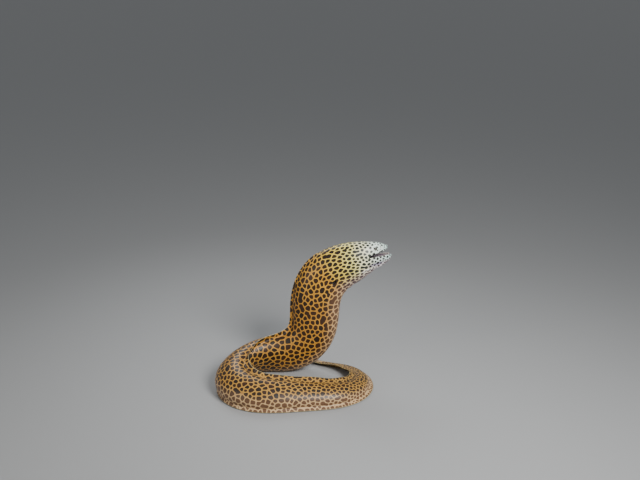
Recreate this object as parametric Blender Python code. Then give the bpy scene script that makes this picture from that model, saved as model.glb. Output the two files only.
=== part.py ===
"""Life-size honeycomb moray eel that lies in a loose loop on the floor with its head and neck raised.

The whole animal follows one spine line, which starts at the chin and runs to the tip of the tail. Every
piece is lofted around that line from the same few tables of heights and widths, and is parted from its
neighbour by a thin plane cut. Metres, +Z up, the head points to +X.
"""

import math
import random

import bmesh
import bpy
import numpy as np
from mathutils import Matrix, Vector

# Places along the spine line, measured from the chin
TOTAL_LENGTH = 1.380
FLESH_END = 1.345
SNOUT_TIP = 0.005
MOUTH_CORNER = 0.064
HEAD_END = 0.172
VENT = 0.650

# Where the chin stands over the floor, so that the model's box is centred on the origin
CHIN_X = 0.2447
CHIN_Y = 0.0925

# Turns of the spine line: where each starts and ends, and the share of it spent easing in and out
ARCH = (0.075, 0.320, 0.45)
SWEEP = (0.300, 0.540, 0.35)
FIRST_LOOP = (0.470, 0.910, 0.30)
SECOND_LOOP = (0.965, 1.330, 0.30)
HEAD_PITCH = -13.5
NECK_PITCH = -89.0
FIRST_LOOP_TURN = 186.0
SECOND_LOOP_TURN = 150.0

# Roll of the body about its spine line, in degrees: the head shows some throat, the tail lies on its side
ROLL = ((0.00, 7.0), (0.15, 7.0), (0.34, 0.0), (0.46, -6.0), (0.65, -44.0), (1.00, -58.0), (1.38, -64.0))

# How far the belly is pressed flat where it lies on the floor, and where the body starts to lie on it
BELLY_PRESS = 0.0026
LIFTED_BEFORE = 0.520
LIFT_EASE = 0.012

# Height of the back over the spine line
CROWN = (
    (0.005, 0.0235), (0.022, 0.0345), (0.050, 0.0442), (0.080, 0.0508), (0.110, 0.0556),
    (0.150, 0.0608), (0.200, 0.0655), (0.270, 0.0670), (0.420, 0.0610), (0.650, 0.0540),
    (0.860, 0.0440), (1.060, 0.0320), (1.220, 0.0190), (1.345, 0.0065),
)

# Depth of the throat and belly under the spine line
THROAT = (
    (0.000, 0.0140), (0.014, 0.0220), (0.027, 0.0274), (0.048, 0.0338), (0.066, 0.0420),
    (0.090, 0.0530), (0.120, 0.0620), (0.150, 0.0674), (0.210, 0.0705), (0.300, 0.0672), (0.420, 0.0630),
    (0.650, 0.0540), (0.860, 0.0420), (1.060, 0.0300), (1.220, 0.0180), (1.345, 0.0065),
)

# Half width of the head and body
HALF_WIDTH = (
    (0.000, 0.0130), (0.012, 0.0160), (0.030, 0.0200), (0.050, 0.0262), (0.075, 0.0330),
    (0.110, 0.0375), (0.150, 0.0385), (0.200, 0.0405), (0.280, 0.0425), (0.420, 0.0415),
    (0.650, 0.0365), (0.860, 0.0280), (1.060, 0.0190), (1.220, 0.0105), (1.345, 0.0034),
)

# Roundness of the section: 2 is an ellipse, more is squarer
BACK_ROUNDNESS = ((0.00, 2.3), (0.10, 2.15), (0.20, 1.95), (0.60, 2.0), (1.345, 2.0))
BELLY_ROUNDNESS = ((0.00, 2.2), (0.10, 2.2), (0.25, 2.3), (0.60, 2.3), (1.345, 2.0))

# The two lip lines, as heights over the spine line
UPPER_LIP = (
    (0.005, 0.0182), (0.011, 0.0156), (0.034, 0.0130), (0.048, 0.0124), (0.057, 0.0102), (0.064, 0.0040),
)
LOWER_LIP = (
    (0.000, -0.0024), (0.005, -0.0013), (0.011, -0.0007), (0.034, 0.0009), (0.050, 0.0030), (0.064, 0.0040),
)
SNOUT_HEIGHT = 0.0225
CHIN_HEIGHT = -0.0064
PALATE_RISE = 0.0062
MOUTH_FLOOR_DROP = 0.0055
SEAM_FADE = 0.040
LIP_BULGE = 0.0009

# Eyes
EYE_AT = 0.0385
EYE_HEIGHT = 0.0248
EYE_RADIUS = 0.0058
EYE_PROUD = 0.0022
EYE_SEGMENTS = 14
RIM_RADIUS = 0.0012
RIM_ROUND_EYE = 0.0049
RIM_SUNK = 0.0004

# Nostrils and gill openings: the place along the spine line, and degrees down from the back
FRONT_NOSTRIL_AT = 0.0085
FRONT_NOSTRIL_ANGLE = 48.0
NOSTRIL_TUBE_LENGTH = 0.0046
NOSTRIL_TUBE_RADIUS = 0.0016
REAR_NOSTRIL_AT = 0.0365
REAR_NOSTRIL_ANGLE = 30.0
GILL_AT = 0.184
GILL_ANGLE = 107.0
GILL_LENGTH = 0.0085
GILL_HEIGHT = 0.0052
GILL_DEPTH = 0.0045

# Teeth
UPPER_TEETH = 10
LOWER_TEETH = 11
TOOTH_HEIGHT = 0.0037
TOOTH_RADIUS = 0.0009
TOOTH_ROOT = 0.0016
SEED = 41

# Fins
FIN_HALF_ROOT = 0.0026
FIN_HALF_MIDDLE = 0.0017
FIN_HALF_EDGE = 0.0007
RAY_RELIEF = 0.0005
DORSAL_HEIGHT = ((0.172, 0.0022), (0.23, 0.0050), (0.34, 0.0090), (0.60, 0.0150), (1.00, 0.0180), (1.25, 0.0165),
                 (1.345, 0.0125))
ANAL_HEIGHT = ((0.650, 0.0020), (0.70, 0.0065), (0.90, 0.0105), (1.15, 0.0125), (1.345, 0.0105))
FIN_RIPPLE = 6.0
FIN_RIPPLE_LENGTH = 0.105
TAIL_FIN_ROWS = 9
TAIL_FIN_STEPS = 8

# Counts of the lofts, and the gap between pieces that touch
GAP = 0.0003
STATION_STEP = 0.008
BODY_SIDE_COUNT = 4
HEAD_UPPER_COUNT = 13
HEAD_LOWER_COUNT = 11

# The lengths of the body and where each ends
LENGTHS = (
    ("neck", 0.300), ("fore_body", 0.436), ("trunk_front", 0.588), ("trunk_middle", 0.748),
    ("trunk_rear", 0.908), ("tail_front", 1.068), ("tail_middle", 1.220), ("tail_rear", FLESH_END),
)

# Colours
PALE_SKIN = (0.62, 0.42, 0.16)
HEAD_SKIN = (0.72, 0.62, 0.42)
FIN_SKIN = (0.36, 0.22, 0.09)
DARK_EYE = (0.03, 0.02, 0.015)


def eased(t, ease):
    """A turn from 0 to 1 whose rate rises over ease, holds and falls over ease."""
    t = np.clip(t, 0.0, 1.0)
    rate = 1.0 / (1.0 - ease)
    rising = 0.5 * rate * t * t / ease
    steady = rate * (t - 0.5 * ease)
    falling = 1.0 - 0.5 * rate * (1.0 - t) ** 2 / ease
    return np.where(t < ease, rising, np.where(t < 1.0 - ease, steady, falling))


def turned(s, turn):
    """How much of a turn (start, end, ease) is done at s."""
    start, end, ease = turn
    return eased((s - start) / (end - start), ease)


def read_table(table, s):
    """A smooth curve through a table's points that doesn't overshoot them."""
    places = np.array([row[0] for row in table])
    values = np.array([row[1] for row in table])
    step = np.diff(places)
    slope = np.diff(values) / step
    same = slope[1:] * slope[:-1] > 0
    front = 2 * step[1:] + step[:-1]
    back = step[1:] + 2 * step[:-1]
    steep = front / np.where(same, slope[:-1], 1.0) + back / np.where(same, slope[1:], 1.0)
    grade = np.zeros(len(places))
    grade[1:-1] = np.where(same, (front + back) / steep, 0.0)
    grade[0] = slope[0]
    grade[-1] = slope[-1]
    s = np.clip(s, places[0], places[-1])
    i = np.clip(np.searchsorted(places, s, side="right") - 1, 0, len(step) - 1)
    t = (s - places[i]) / step[i]
    first = (1 + 2 * t) * (1 - t) ** 2 * values[i] + t * (1 - t) ** 2 * step[i] * grade[i]
    second = t * t * (3 - 2 * t) * values[i + 1] + t * t * (t - 1) * step[i] * grade[i + 1]
    return first + second


def rounded(t, power):
    """A blunt rounded end: 0 at the tip, 1 once t reaches 1."""
    t = np.clip(t, 0.0, 1.0)
    return (1.0 - (1.0 - t) ** power) ** (1.0 / power)


def pitch_at(s):
    """Slope of the spine line, going tailward, in radians."""
    down = (NECK_PITCH - HEAD_PITCH) * turned(s, ARCH)
    level = -NECK_PITCH * turned(s, SWEEP)
    return np.radians(HEAD_PITCH + down + level)


def yaw_at(s):
    """Heading of the spine line seen from above, going tailward, in radians."""
    loops = FIRST_LOOP_TURN * turned(s, FIRST_LOOP) + SECOND_LOOP_TURN * turned(s, SECOND_LOOP)
    return np.radians(180.0 + loops)


def section(s, angles):
    """Points of the skin at s, as offsets to the left and towards the back. Angle 0 is the middle of the back."""
    cos = np.cos(angles)
    sin = np.sin(angles)
    back = 2.0 / read_table(BACK_ROUNDNESS, s)
    belly = 2.0 / read_table(BELLY_ROUNDNESS, s)
    power = np.where(cos >= 0, back, belly)
    reach = np.where(cos >= 0, read_table(CROWN, s), read_table(THROAT, s))
    side = read_table(HALF_WIDTH, s) * np.sign(sin) * np.abs(sin) ** power
    height = reach * np.sign(cos) * np.abs(cos) ** power
    return side, height


def resting_height(s, roll):
    """Height of the spine line where the rolled section lies pressed on the floor."""
    s = min(s, FLESH_END)
    side, height = section(s, np.linspace(0.0, 2.0 * math.pi, 73))
    lowest = (height * math.cos(roll) - side * math.sin(roll)).min()
    softness = min(1.0, float(read_table(HALF_WIDTH, s)) / 0.030)
    return -lowest - BELLY_PRESS * softness


def summed(rate, step):
    """Running integral of evenly spaced values."""
    return np.concatenate([[0.0], np.cumsum(0.5 * (rate[1:] + rate[:-1]) * step)])


def unit(rows):
    return rows / np.linalg.norm(rows, axis=1)[:, None]


class Spine:
    """The spine line with its frames: where it is, and which ways are tailward, towards the back and left."""

    def __init__(self):
        self.s = np.linspace(0.0, TOTAL_LENGTH, 1381)
        step = self.s[1] - self.s[0]
        pitch = pitch_at(self.s)
        yaw = yaw_at(self.s)
        roll = np.radians(read_table(ROLL, self.s))
        x = CHIN_X + summed(np.cos(pitch) * np.cos(yaw), step)
        y = CHIN_Y + summed(np.cos(pitch) * np.sin(yaw), step)
        fall = summed(np.sin(pitch), step)
        rest = np.array([resting_height(s, r) for s, r in zip(self.s, roll)])
        lying = LIFTED_BEFORE + LIFT_EASE * np.log1p(np.exp((self.s - LIFTED_BEFORE) / LIFT_EASE))
        rest = np.interp(lying, self.s, rest)
        self.place = np.stack([x, y, rest + fall - fall[-1]], axis=1)
        self.tail = unit(np.gradient(self.place, step, axis=0))
        up = np.stack([-np.sin(pitch) * np.cos(yaw), -np.sin(pitch) * np.sin(yaw), np.cos(pitch)], axis=1)
        up = unit(up - (up * self.tail).sum(axis=1)[:, None] * self.tail)
        left = np.cross(self.tail, up)
        cos = np.cos(roll)[:, None]
        sin = np.sin(roll)[:, None]
        self.up = up * cos + left * sin
        self.left = left * cos - up * sin

    def frame(self, s):
        """Place, tailward, up and left at s."""
        fields = (self.place, self.tail, self.up, self.left)
        return [np.array([np.interp(s, self.s, field[:, k]) for k in range(3)]) for field in fields]

    def points(self, s, side, height, shift=0.0):
        """World places of offsets at s, moved tailward by shift."""
        place, tail, up, left = self.frame(s)
        side = np.atleast_1d(side)[:, None]
        height = np.atleast_1d(height)[:, None]
        return place + tail * shift + left * side + up * height

    def skin(self, s, angle):
        """A point of the skin and the way out of it there."""
        near = 0.0005
        around = section(s, np.array([angle - 0.02, angle, angle + 0.02]))
        ring = self.points(s, *around)
        ahead = self.points(s - near, *section(s - near, np.array([angle])))[0]
        behind = self.points(s + near, *section(s + near, np.array([angle])))[0]
        out = np.cross(ring[2] - ring[0], behind - ahead)
        out /= np.linalg.norm(out)
        if np.dot(out, ring[1] - self.frame(s)[0]) < 0:
            out = -out
        return Vector(ring[1]), Vector(out)


def new_object(name, bm, colour, roughness):
    """One named object with a material of its own."""
    bmesh.ops.recalc_face_normals(bm, faces=bm.faces)
    mesh = bpy.data.meshes.new(name)
    bm.to_mesh(mesh)
    bm.free()
    mesh.shade_smooth()
    mesh.set_sharp_from_angle(angle=math.radians(50))
    material = bpy.data.materials.new(name)
    material.use_nodes = True
    shader = material.node_tree.nodes["Principled BSDF"]
    shader.inputs["Base Color"].default_value = (*colour, 1.0)
    shader.inputs["Roughness"].default_value = roughness
    shader.inputs["Metallic"].default_value = 0.0
    mesh.materials.append(material)
    piece = bpy.data.objects.new(name, mesh)
    bpy.context.scene.collection.objects.link(piece)
    return piece


def add_loft(bm, rings):
    """Triangles between closed rings of equal count, with a fan over each end."""
    rows = [[bm.verts.new(point) for point in ring] for ring in rings]
    count = len(rows[0])
    for a, b in zip(rows, rows[1:]):
        for k in range(count):
            n = (k + 1) % count
            bm.faces.new((a[k], a[n], b[n]))
            bm.faces.new((a[k], b[n], b[k]))
    for row in (rows[0], rows[-1]):
        middle = bm.verts.new(sum((v.co for v in row), Vector()) / count)
        for k in range(count):
            bm.faces.new((row[k], row[(k + 1) % count], middle))


def largest_surface(bm):
    """Keeps the biggest closed surface and drops what else a union leaves."""
    unseen = set(bm.faces)
    islands = []
    while unseen:
        todo = [unseen.pop()]
        island = []
        while todo:
            face = todo.pop()
            island.append(face)
            for edge in face.edges:
                for other in edge.link_faces:
                    if other in unseen:
                        unseen.remove(other)
                        todo.append(other)
        islands.append(island)
    islands.sort(key=len)
    loose = [face for island in islands[:-1] for face in island]
    bmesh.ops.delete(bm, geom=loose, context="FACES")


def combine(piece, others, operation):
    """Joins or cuts a piece with a set of closed objects, which are then removed."""
    group = bpy.data.collections.new(piece.name + "_parts")
    bpy.context.scene.collection.children.link(group)
    for other in others:
        bpy.context.scene.collection.objects.unlink(other)
        group.objects.link(other)
    change = piece.modifiers.new(operation.lower(), "BOOLEAN")
    change.operation = operation
    change.operand_type = "COLLECTION"
    change.collection = group
    change.solver = "EXACT"
    bpy.context.view_layer.update()
    evaluated = piece.evaluated_get(bpy.context.evaluated_depsgraph_get())
    bm = bmesh.new()
    bm.from_mesh(evaluated.to_mesh())
    evaluated.to_mesh_clear()
    piece.modifiers.clear()
    for other in others:
        bpy.data.objects.remove(other)
    bpy.data.collections.remove(group)
    bmesh.ops.remove_doubles(bm, verts=bm.verts, dist=0.000004)
    bmesh.ops.dissolve_degenerate(bm, edges=bm.edges, dist=0.000004)
    largest_surface(bm)
    bmesh.ops.triangulate(bm, faces=bm.faces)
    bm.to_mesh(piece.data)
    bm.free()


def helper(name, bm):
    """A closed shape that is fused with a piece or cut from it."""
    bmesh.ops.recalc_face_normals(bm, faces=bm.faces)
    mesh = bpy.data.meshes.new(name)
    bm.to_mesh(mesh)
    bm.free()
    shape = bpy.data.objects.new(name, mesh)
    bpy.context.scene.collection.objects.link(shape)
    return shape


def facing(place, out):
    """A matrix that stands local +Z along out at place."""
    turn = Vector(out).to_track_quat("Z", "Y").to_matrix().to_4x4()
    return Matrix.Translation(place) @ turn


def ball(place, out, radii, segments):
    """An ellipsoid with its third radius along out."""
    bm = bmesh.new()
    bmesh.ops.create_uvsphere(bm, u_segments=segments, v_segments=segments // 2, radius=1.0)
    shape = facing(place, out) @ Matrix.Diagonal((*radii, 1.0))
    bmesh.ops.transform(bm, matrix=shape, verts=bm.verts)
    return bm


def cone(place, out, base, tip, root, length, segments):
    """A cone or tube from root below place to length above it."""
    bm = bmesh.new()
    bmesh.ops.create_cone(bm, cap_ends=True, segments=segments, radius1=base, radius2=tip, depth=root + length)
    bmesh.ops.translate(bm, vec=(0.0, 0.0, (length - root) / 2), verts=bm.verts)
    bmesh.ops.transform(bm, matrix=facing(place, out), verts=bm.verts)
    return bm


def ring_around(place, out, radius, thickness):
    """A small torus that lies round out at place."""
    bm = bmesh.new()
    around = 14
    across = 6
    rows = []
    for i in range(around):
        angle = 2 * math.pi * i / around
        way = Vector((math.cos(angle), math.sin(angle), 0.0))
        row = []
        for j in range(across):
            tilt = 2 * math.pi * j / across
            point = way * (radius + thickness * math.cos(tilt)) + Vector((0, 0, thickness * math.sin(tilt)))
            row.append(bm.verts.new(point))
        rows.append(row)
    for i in range(around):
        a = rows[i]
        b = rows[(i + 1) % around]
        for j in range(across):
            n = (j + 1) % across
            bm.faces.new((a[j], b[j], b[n], a[n]))
    bmesh.ops.transform(bm, matrix=facing(place, out), verts=bm.verts)
    return bm


def stations(start, end):
    """Evenly spaced places along the spine line."""
    count = round((end - start) / STATION_STEP)
    return np.linspace(start, end, count + 1)


def parted(places, k):
    """The shift that leaves half of the gap at the first and the last of the places."""
    if k == 0:
        return GAP / 2
    if k == len(places) - 1:
        return -GAP / 2
    return 0.0


def body_ring(spine, s, shift):
    """A section with a narrow flat along the back and another along the belly, pressed flat on the floor."""
    quarter = math.pi / 2 * np.arange(1, BODY_SIDE_COUNT + 1) / BODY_SIDE_COUNT
    lower = math.pi / 2 * (1 + np.arange(1, BODY_SIDE_COUNT + 1) / (BODY_SIDE_COUNT + 0.6))
    side, height = section(s, np.concatenate([quarter, lower]))
    flat = min(FIN_HALF_ROOT + GAP, 0.7 * float(read_table(HALF_WIDTH, s)))
    side = np.concatenate([[flat], side, [flat]])
    height = np.concatenate([[read_table(CROWN, s)], height, [-read_table(THROAT, s)]])
    ring = spine.points(s, np.concatenate([side, -side[::-1]]), np.concatenate([height, height[::-1]]), shift)
    ring[:, 2] = np.maximum(ring[:, 2], 0.0)
    return ring


def make_length(spine, name, start, end):
    """One length of the body between two plane cuts."""
    places = stations(start, end)
    bm = bmesh.new()
    add_loft(bm, [body_ring(spine, s, parted(places, k)) for k, s in enumerate(places)])
    return new_object(name, bm, PALE_SKIN, 0.4)


def fin_row(spine, s, shift, way, root, lean, levels, halves):
    """Both faces of a fin's section, from the root out, where it leans over beyond the skin."""
    place, tail, up, left = spine.frame(s)
    normal = way * up
    out = normal * math.cos(lean) + left * math.sin(lean)
    across = left * math.cos(lean) - normal * math.sin(lean)
    base = place + tail * shift
    one = []
    other = []
    for level, half in zip(levels, halves):
        inside = min(level, root)
        beyond = level - inside
        aside = left if beyond < GAP * 2 else across
        middle = base + normal * inside + out * beyond
        middle[2] = max(middle[2], abs(aside[2]) * half + GAP)
        one.append(middle + aside * half)
        other.append(middle - aside * half)
    return one, other


def dorsal_lean(s):
    """The fin along the back sways gently to one side and the other."""
    grown = float(eased((s - 0.30) / 0.30, 0.4))
    return math.radians(FIN_RIPPLE) * grown * math.sin(2 * math.pi * s / FIN_RIPPLE_LENGTH)


def anal_lean(spine, s, root, height):
    """The fin under the tail folds outward just enough to lie along the floor."""
    place, tail, up, left = spine.frame(s)
    clear = place[2] - up[2] * root - FIN_HALF_MIDDLE - 2 * GAP
    for degrees in range(90):
        lean = math.radians(degrees)
        drop = (up[2] * math.cos(lean) - left[2] * math.sin(lean)) * height
        if drop <= clear:
            return lean
    return math.radians(90)


def make_fin(spine, name, start, end, way):
    """One length of the fin along the back (way 1) or under the tail (way -1), with its rays as ridges."""
    places = stations(start, end)
    rings = []
    for k, s in enumerate(places):
        if way > 0:
            height = float(read_table(DORSAL_HEIGHT, s))
            root = float(read_table(CROWN, s))
            lean = dorsal_lean(s)
        else:
            height = float(read_table(ANAL_HEIGHT, s))
            root = float(read_table(THROAT, s))
            lean = anal_lean(spine, s, root, height)
        relief = RAY_RELIEF if k % 2 == 0 else -0.4 * RAY_RELIEF
        half = min(FIN_HALF_ROOT, 0.6 * float(read_table(HALF_WIDTH, s)))
        halves = (half, min(FIN_HALF_MIDDLE + relief, half), FIN_HALF_EDGE + 0.3 * relief)
        levels = (root + GAP, root + GAP + 0.45 * height, root + GAP + height)
        one, other = fin_row(spine, s, parted(places, k), way, root, lean, levels, halves)
        rings.append(one + other[::-1])
    bm = bmesh.new()
    add_loft(bm, rings)
    return new_object(name, bm, FIN_SKIN, 0.45)


def make_tail_fin(spine):
    """The rounded fin round the tip of the tail, with rays as ridges that run out to its edge."""
    crown = float(read_table(CROWN, FLESH_END))
    throat = float(read_table(THROAT, FLESH_END))
    top = crown + float(read_table(DORSAL_HEIGHT, FLESH_END))
    anal = float(read_table(ANAL_HEIGHT, FLESH_END))
    lean = anal_lean(spine, FLESH_END, throat, anal)
    half_rows = TAIL_FIN_ROWS // 2
    shares = np.arange(half_rows + 1) / half_rows
    rings = []
    for k in range(TAIL_FIN_STEPS):
        t = 0.97 * k / (TAIL_FIN_STEPS - 1)
        s = FLESH_END + t * (TOTAL_LENGTH - FLESH_END)
        spread = (1.0 - t**2.4) ** 0.55
        flesh = 0.0019 * (1.0 - t) * np.exp(-((shares / 0.4) ** 2))
        ridge = RAY_RELIEF * (1.0 - t) * (np.arange(half_rows + 1) % 2)
        halves = FIN_HALF_EDGE * (1.0 - 0.3 * t) + flesh + ridge
        shift = GAP / 2 if k == 0 else 0.0
        inner = throat * (1.0 - t) * spread
        one, other = fin_row(spine, s, shift, 1, top, 0.0, shares[1:][::-1] * top * spread, halves[1:][::-1])
        levels = shares * (throat + anal) * spread
        low_one, low_other = fin_row(spine, s, shift, -1, inner, lean, levels, halves)
        rings.append(one + low_one + (other + low_other)[::-1])
    bm = bmesh.new()
    add_loft(bm, rings)
    return new_object("tail_fin", bm, FIN_SKIN, 0.45)


def side_angle(s, height):
    """The angle at which the skin at s has a given height over the spine line."""
    edge, roundness = (CROWN, BACK_ROUNDNESS) if height >= 0 else (THROAT, BELLY_ROUNDNESS)
    share = abs(height) / float(read_table(edge, s))
    from_level = math.asin(min(1.0, share ** (float(read_table(roundness, s)) / 2.0)))
    return math.pi / 2 - from_level if height >= 0 else math.pi / 2 + from_level


def snout_growth(s):
    """How much of its full width, of its height over the tip and of its depth under it the snout has at s."""
    t = (s - SNOUT_TIP) / 0.022
    return float(rounded(t + 0.01, 2.0)), float(rounded(1.6 * t + 0.01, 2.3)), float(rounded(2.4 * t + 0.01, 2.0))


def chin_growth(s):
    """The same for the chin: its width, its depth under the tip and its height over it."""
    t = s / 0.014
    return float(rounded(t + 0.01, 2.2)), float(rounded(1.2 * t + 0.01, 2.0)), float(rounded(3.0 * t + 0.01, 2.0))


def jaw_row(spine, s, limit, tip_height, lip, hollow, grow, shift=0.0):
    """A section of one jaw: the outer skin out to the limit angle, then the inside of the mouth."""
    grow_width, grow_edge, grow_lip = grow
    if hollow > 0:
        half = HEAD_UPPER_COUNT // 2
        count = HEAD_LOWER_COUNT
        angles = limit * (np.arange(-half, half + 1) / half)
    else:
        count = HEAD_UPPER_COUNT - 4
        half = HEAD_LOWER_COUNT // 2
        angles = math.pi + (math.pi - limit) * (np.arange(-half, half + 1) / half)
    side, height = section(s, angles)
    near_lip = np.zeros(len(side))
    near_lip[1] = near_lip[-2] = 1.0
    side = side + np.sign(side) * near_lip * LIP_BULGE
    across = np.cos(math.pi * np.arange(1, count + 1) / (count + 1))
    inner_side = side[-1] * 0.94 * across
    inner_height = lip + hollow * (1.0 - across**2) ** 0.7
    outer_share = np.where((height - tip_height) * np.sign(hollow) > 0, grow_edge, grow_lip)
    height = tip_height + (height - tip_height) * outer_share
    inner_height = tip_height + (inner_height - tip_height) * grow_lip
    side = np.concatenate([side, inner_side]) * grow_width
    return spine.points(s, side, np.concatenate([height, inner_height]), shift)


def mouth_hollow(s, start):
    """1 in the mouth, falling to 0 in a rounded way at its corner and evenly towards the jaw's tip."""
    return float(rounded((MOUTH_CORNER - s) / 0.012, 2.0)) * min(1.0, (s - start) / 0.024) + 1e-4


def skull_row(spine, s):
    """A section of the snout and upper jaw."""
    lip = float(read_table(UPPER_LIP, s))
    limit = side_angle(s, lip)
    hollow = PALATE_RISE * mouth_hollow(s, SNOUT_TIP)
    return jaw_row(spine, s, limit, SNOUT_HEIGHT, lip, hollow, snout_growth(s))


def lower_jaw_row(spine, s, shift=0.0):
    """A section of the lower jaw."""
    lip = float(read_table(LOWER_LIP, s))
    limit = side_angle(s, lip)
    hollow = -MOUTH_FLOOR_DROP * mouth_hollow(s, 0.0)
    return jaw_row(spine, s, limit, CHIN_HEIGHT, lip, hollow, chin_growth(s), shift)


def full_head_row(spine, s, shift=0.0):
    """A section of the head behind the mouth, with its points where the upper jaw has them."""
    half = HEAD_UPPER_COUNT // 2
    limit = side_angle(s, UPPER_LIP[-1][1] * max(0.0, 1.0 - (s - MOUTH_CORNER) / SEAM_FADE))
    upper = limit * (np.arange(-half, half + 1) / half)
    lower = limit + 2 * (math.pi - limit) * np.arange(1, HEAD_LOWER_COUNT + 1) / (HEAD_LOWER_COUNT + 1)
    side, height = section(s, np.concatenate([upper, lower]))
    if s == MOUTH_CORNER:
        side[1] -= LIP_BULGE
        side[half * 2 - 1] += LIP_BULGE
    return spine.points(s, side, height, shift)


def mouth_places(start):
    """Places from the tip of a jaw to the mouth's corner, closer at the tip."""
    return start + (MOUTH_CORNER - start) * np.linspace(0.0, 1.0, 12) ** 1.4


def teeth(spine, start, count, lip_table, way, rng):
    """Slender pointed teeth along both sides of a jaw, leaning a little into the mouth."""
    shapes = []
    for k in range(count):
        s = start + (MOUTH_CORNER - 0.012 - start) * (k + 0.3) / count
        lip = float(read_table(lip_table, s))
        side, height = section(s, np.array([side_angle(s, lip)]))
        reach = float(side[0]) * 0.84 * float(rounded((s - start + 0.006) / 0.022, 2.0))
        size = rng.uniform(0.75, 1.15)
        for hand in (-1, 1):
            place = Vector(spine.points(s, hand * reach, lip + way * 0.0016)[0])
            frame = spine.frame(s)
            out = Vector(-way * frame[2] + 0.35 * frame[1] - 0.12 * hand * frame[3])
            bm = cone(place, out, TOOTH_RADIUS * size, 0.0002, TOOTH_ROOT, TOOTH_HEIGHT * size, 5)
            shapes.append(helper("tooth", bm))
    return shapes


def snout_skin(spine, s, angle):
    """A point of the rounded snout, and a way out of it that leans forward and up."""
    side, height = section(s, np.array([angle]))
    grow_width, grow_top, grow_lip = snout_growth(s)
    place = spine.points(s, side * grow_width, SNOUT_HEIGHT + (height - SNOUT_HEIGHT) * grow_top)[0]
    forward, up, left = (Vector(way) for way in spine.frame(s)[1:])
    out = math.sin(angle) * left - 0.75 * forward + 0.7 * up
    return Vector(place), out.normalized()


def eye_places(spine):
    """For each eye its name, its middle and the way it faces."""
    rows = []
    for name, hand in (("eye_left", 1), ("eye_right", -1)):
        place, out = spine.skin(EYE_AT, hand * side_angle(EYE_AT, EYE_HEIGHT))
        rows.append((name, place - out * (EYE_RADIUS - EYE_PROUD), place, out))
    return rows


def make_eyes(spine):
    for name, middle, _, out in eye_places(spine):
        bm = ball(middle, out, (EYE_RADIUS,) * 3, EYE_SEGMENTS)
        new_object(name, bm, DARK_EYE, 0.1)


def make_head(spine):
    """The head without its lower jaw: it steps down to the full throat behind the mouth's corner."""
    rings = [skull_row(spine, s) for s in mouth_places(SNOUT_TIP)]
    rear = np.linspace(MOUTH_CORNER, HEAD_END, 14)
    rings += [full_head_row(spine, s) for s in rear[:-1]]
    rings.append(full_head_row(spine, HEAD_END, -GAP / 2))
    bm = bmesh.new()
    add_loft(bm, rings)
    bmesh.ops.remove_doubles(bm, verts=bm.verts, dist=0.00005)
    head = new_object("head", bm, HEAD_SKIN, 0.38)
    added = teeth(spine, SNOUT_TIP + 0.004, UPPER_TEETH, UPPER_LIP, 1, random.Random(SEED))
    cuts = []
    for _, middle, place, out in eye_places(spine):
        added.append(helper("eye_rim", ring_around(place - out * RIM_SUNK, out, RIM_ROUND_EYE, RIM_RADIUS)))
        cuts.append(helper("socket", ball(middle, out, (EYE_RADIUS + GAP,) * 3, EYE_SEGMENTS)))
    for hand in (-1, 1):
        place, out = snout_skin(spine, FRONT_NOSTRIL_AT, hand * math.radians(FRONT_NOSTRIL_ANGLE))
        tube = cone(place, out, NOSTRIL_TUBE_RADIUS, 0.8 * NOSTRIL_TUBE_RADIUS, 0.003, NOSTRIL_TUBE_LENGTH, 8)
        added.append(helper("nostril_tube", tube))
        end = place + out * NOSTRIL_TUBE_LENGTH
        cuts.append(helper("nostril_bore", cone(end, out, 0.0007, 0.0008, 0.0024, 0.001, 6)))
        place, out = spine.skin(REAR_NOSTRIL_AT, hand * math.radians(REAR_NOSTRIL_ANGLE))
        cuts.append(helper("rear_nostril", cone(place, out, 0.0008, 0.0014, 0.0022, 0.0008, 8)))
    combine(head, added, "UNION")
    combine(head, cuts, "DIFFERENCE")
    return head


def make_lower_jaw(spine):
    places = mouth_places(0.0)
    rings = [lower_jaw_row(spine, s) for s in places[:-1]]
    rings.append(lower_jaw_row(spine, MOUTH_CORNER, -GAP))
    bm = bmesh.new()
    add_loft(bm, rings)
    jaw = new_object("lower_jaw", bm, HEAD_SKIN, 0.38)
    added = teeth(spine, 0.005, LOWER_TEETH, LOWER_LIP, -1, random.Random(SEED + 1))
    combine(jaw, added, "UNION")
    return jaw


def cut_gills(spine, neck):
    """The small oval gill openings on the sides of the neck."""
    cuts = []
    for hand in (-1, 1):
        place, out = spine.skin(GILL_AT, hand * math.radians(GILL_ANGLE))
        tail = Vector(spine.frame(GILL_AT)[1])
        bm = bmesh.new()
        bmesh.ops.create_uvsphere(bm, u_segments=12, v_segments=8, radius=1.0)
        across = out.cross(tail).normalized()
        along = across.cross(out).normalized()
        turn = Matrix((along, across, out)).transposed().to_4x4()
        size = Matrix.Diagonal((GILL_LENGTH, GILL_HEIGHT, GILL_DEPTH, 1.0))
        bmesh.ops.transform(bm, matrix=Matrix.Translation(place) @ turn @ size, verts=bm.verts)
        cuts.append(helper("gill", bm))
    combine(neck, cuts, "DIFFERENCE")


def build():
    for piece in list(bpy.data.objects):
        bpy.data.objects.remove(piece)
    spine = Spine()
    make_head(spine)
    make_lower_jaw(spine)
    make_eyes(spine)
    start = HEAD_END
    for name, end in LENGTHS:
        piece = make_length(spine, name, start, end)
        if name == "neck":
            cut_gills(spine, piece)
        make_fin(spine, "dorsal_fin_" + name, start, end, 1)
        if end > VENT:
            make_fin(spine, "anal_fin_" + name, max(start, VENT), end, -1)
        start = end
    make_tail_fin(spine)


build()
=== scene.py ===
import math

import bpy
import numpy as np
from mathutils import Matrix, Vector, kdtree


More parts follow.
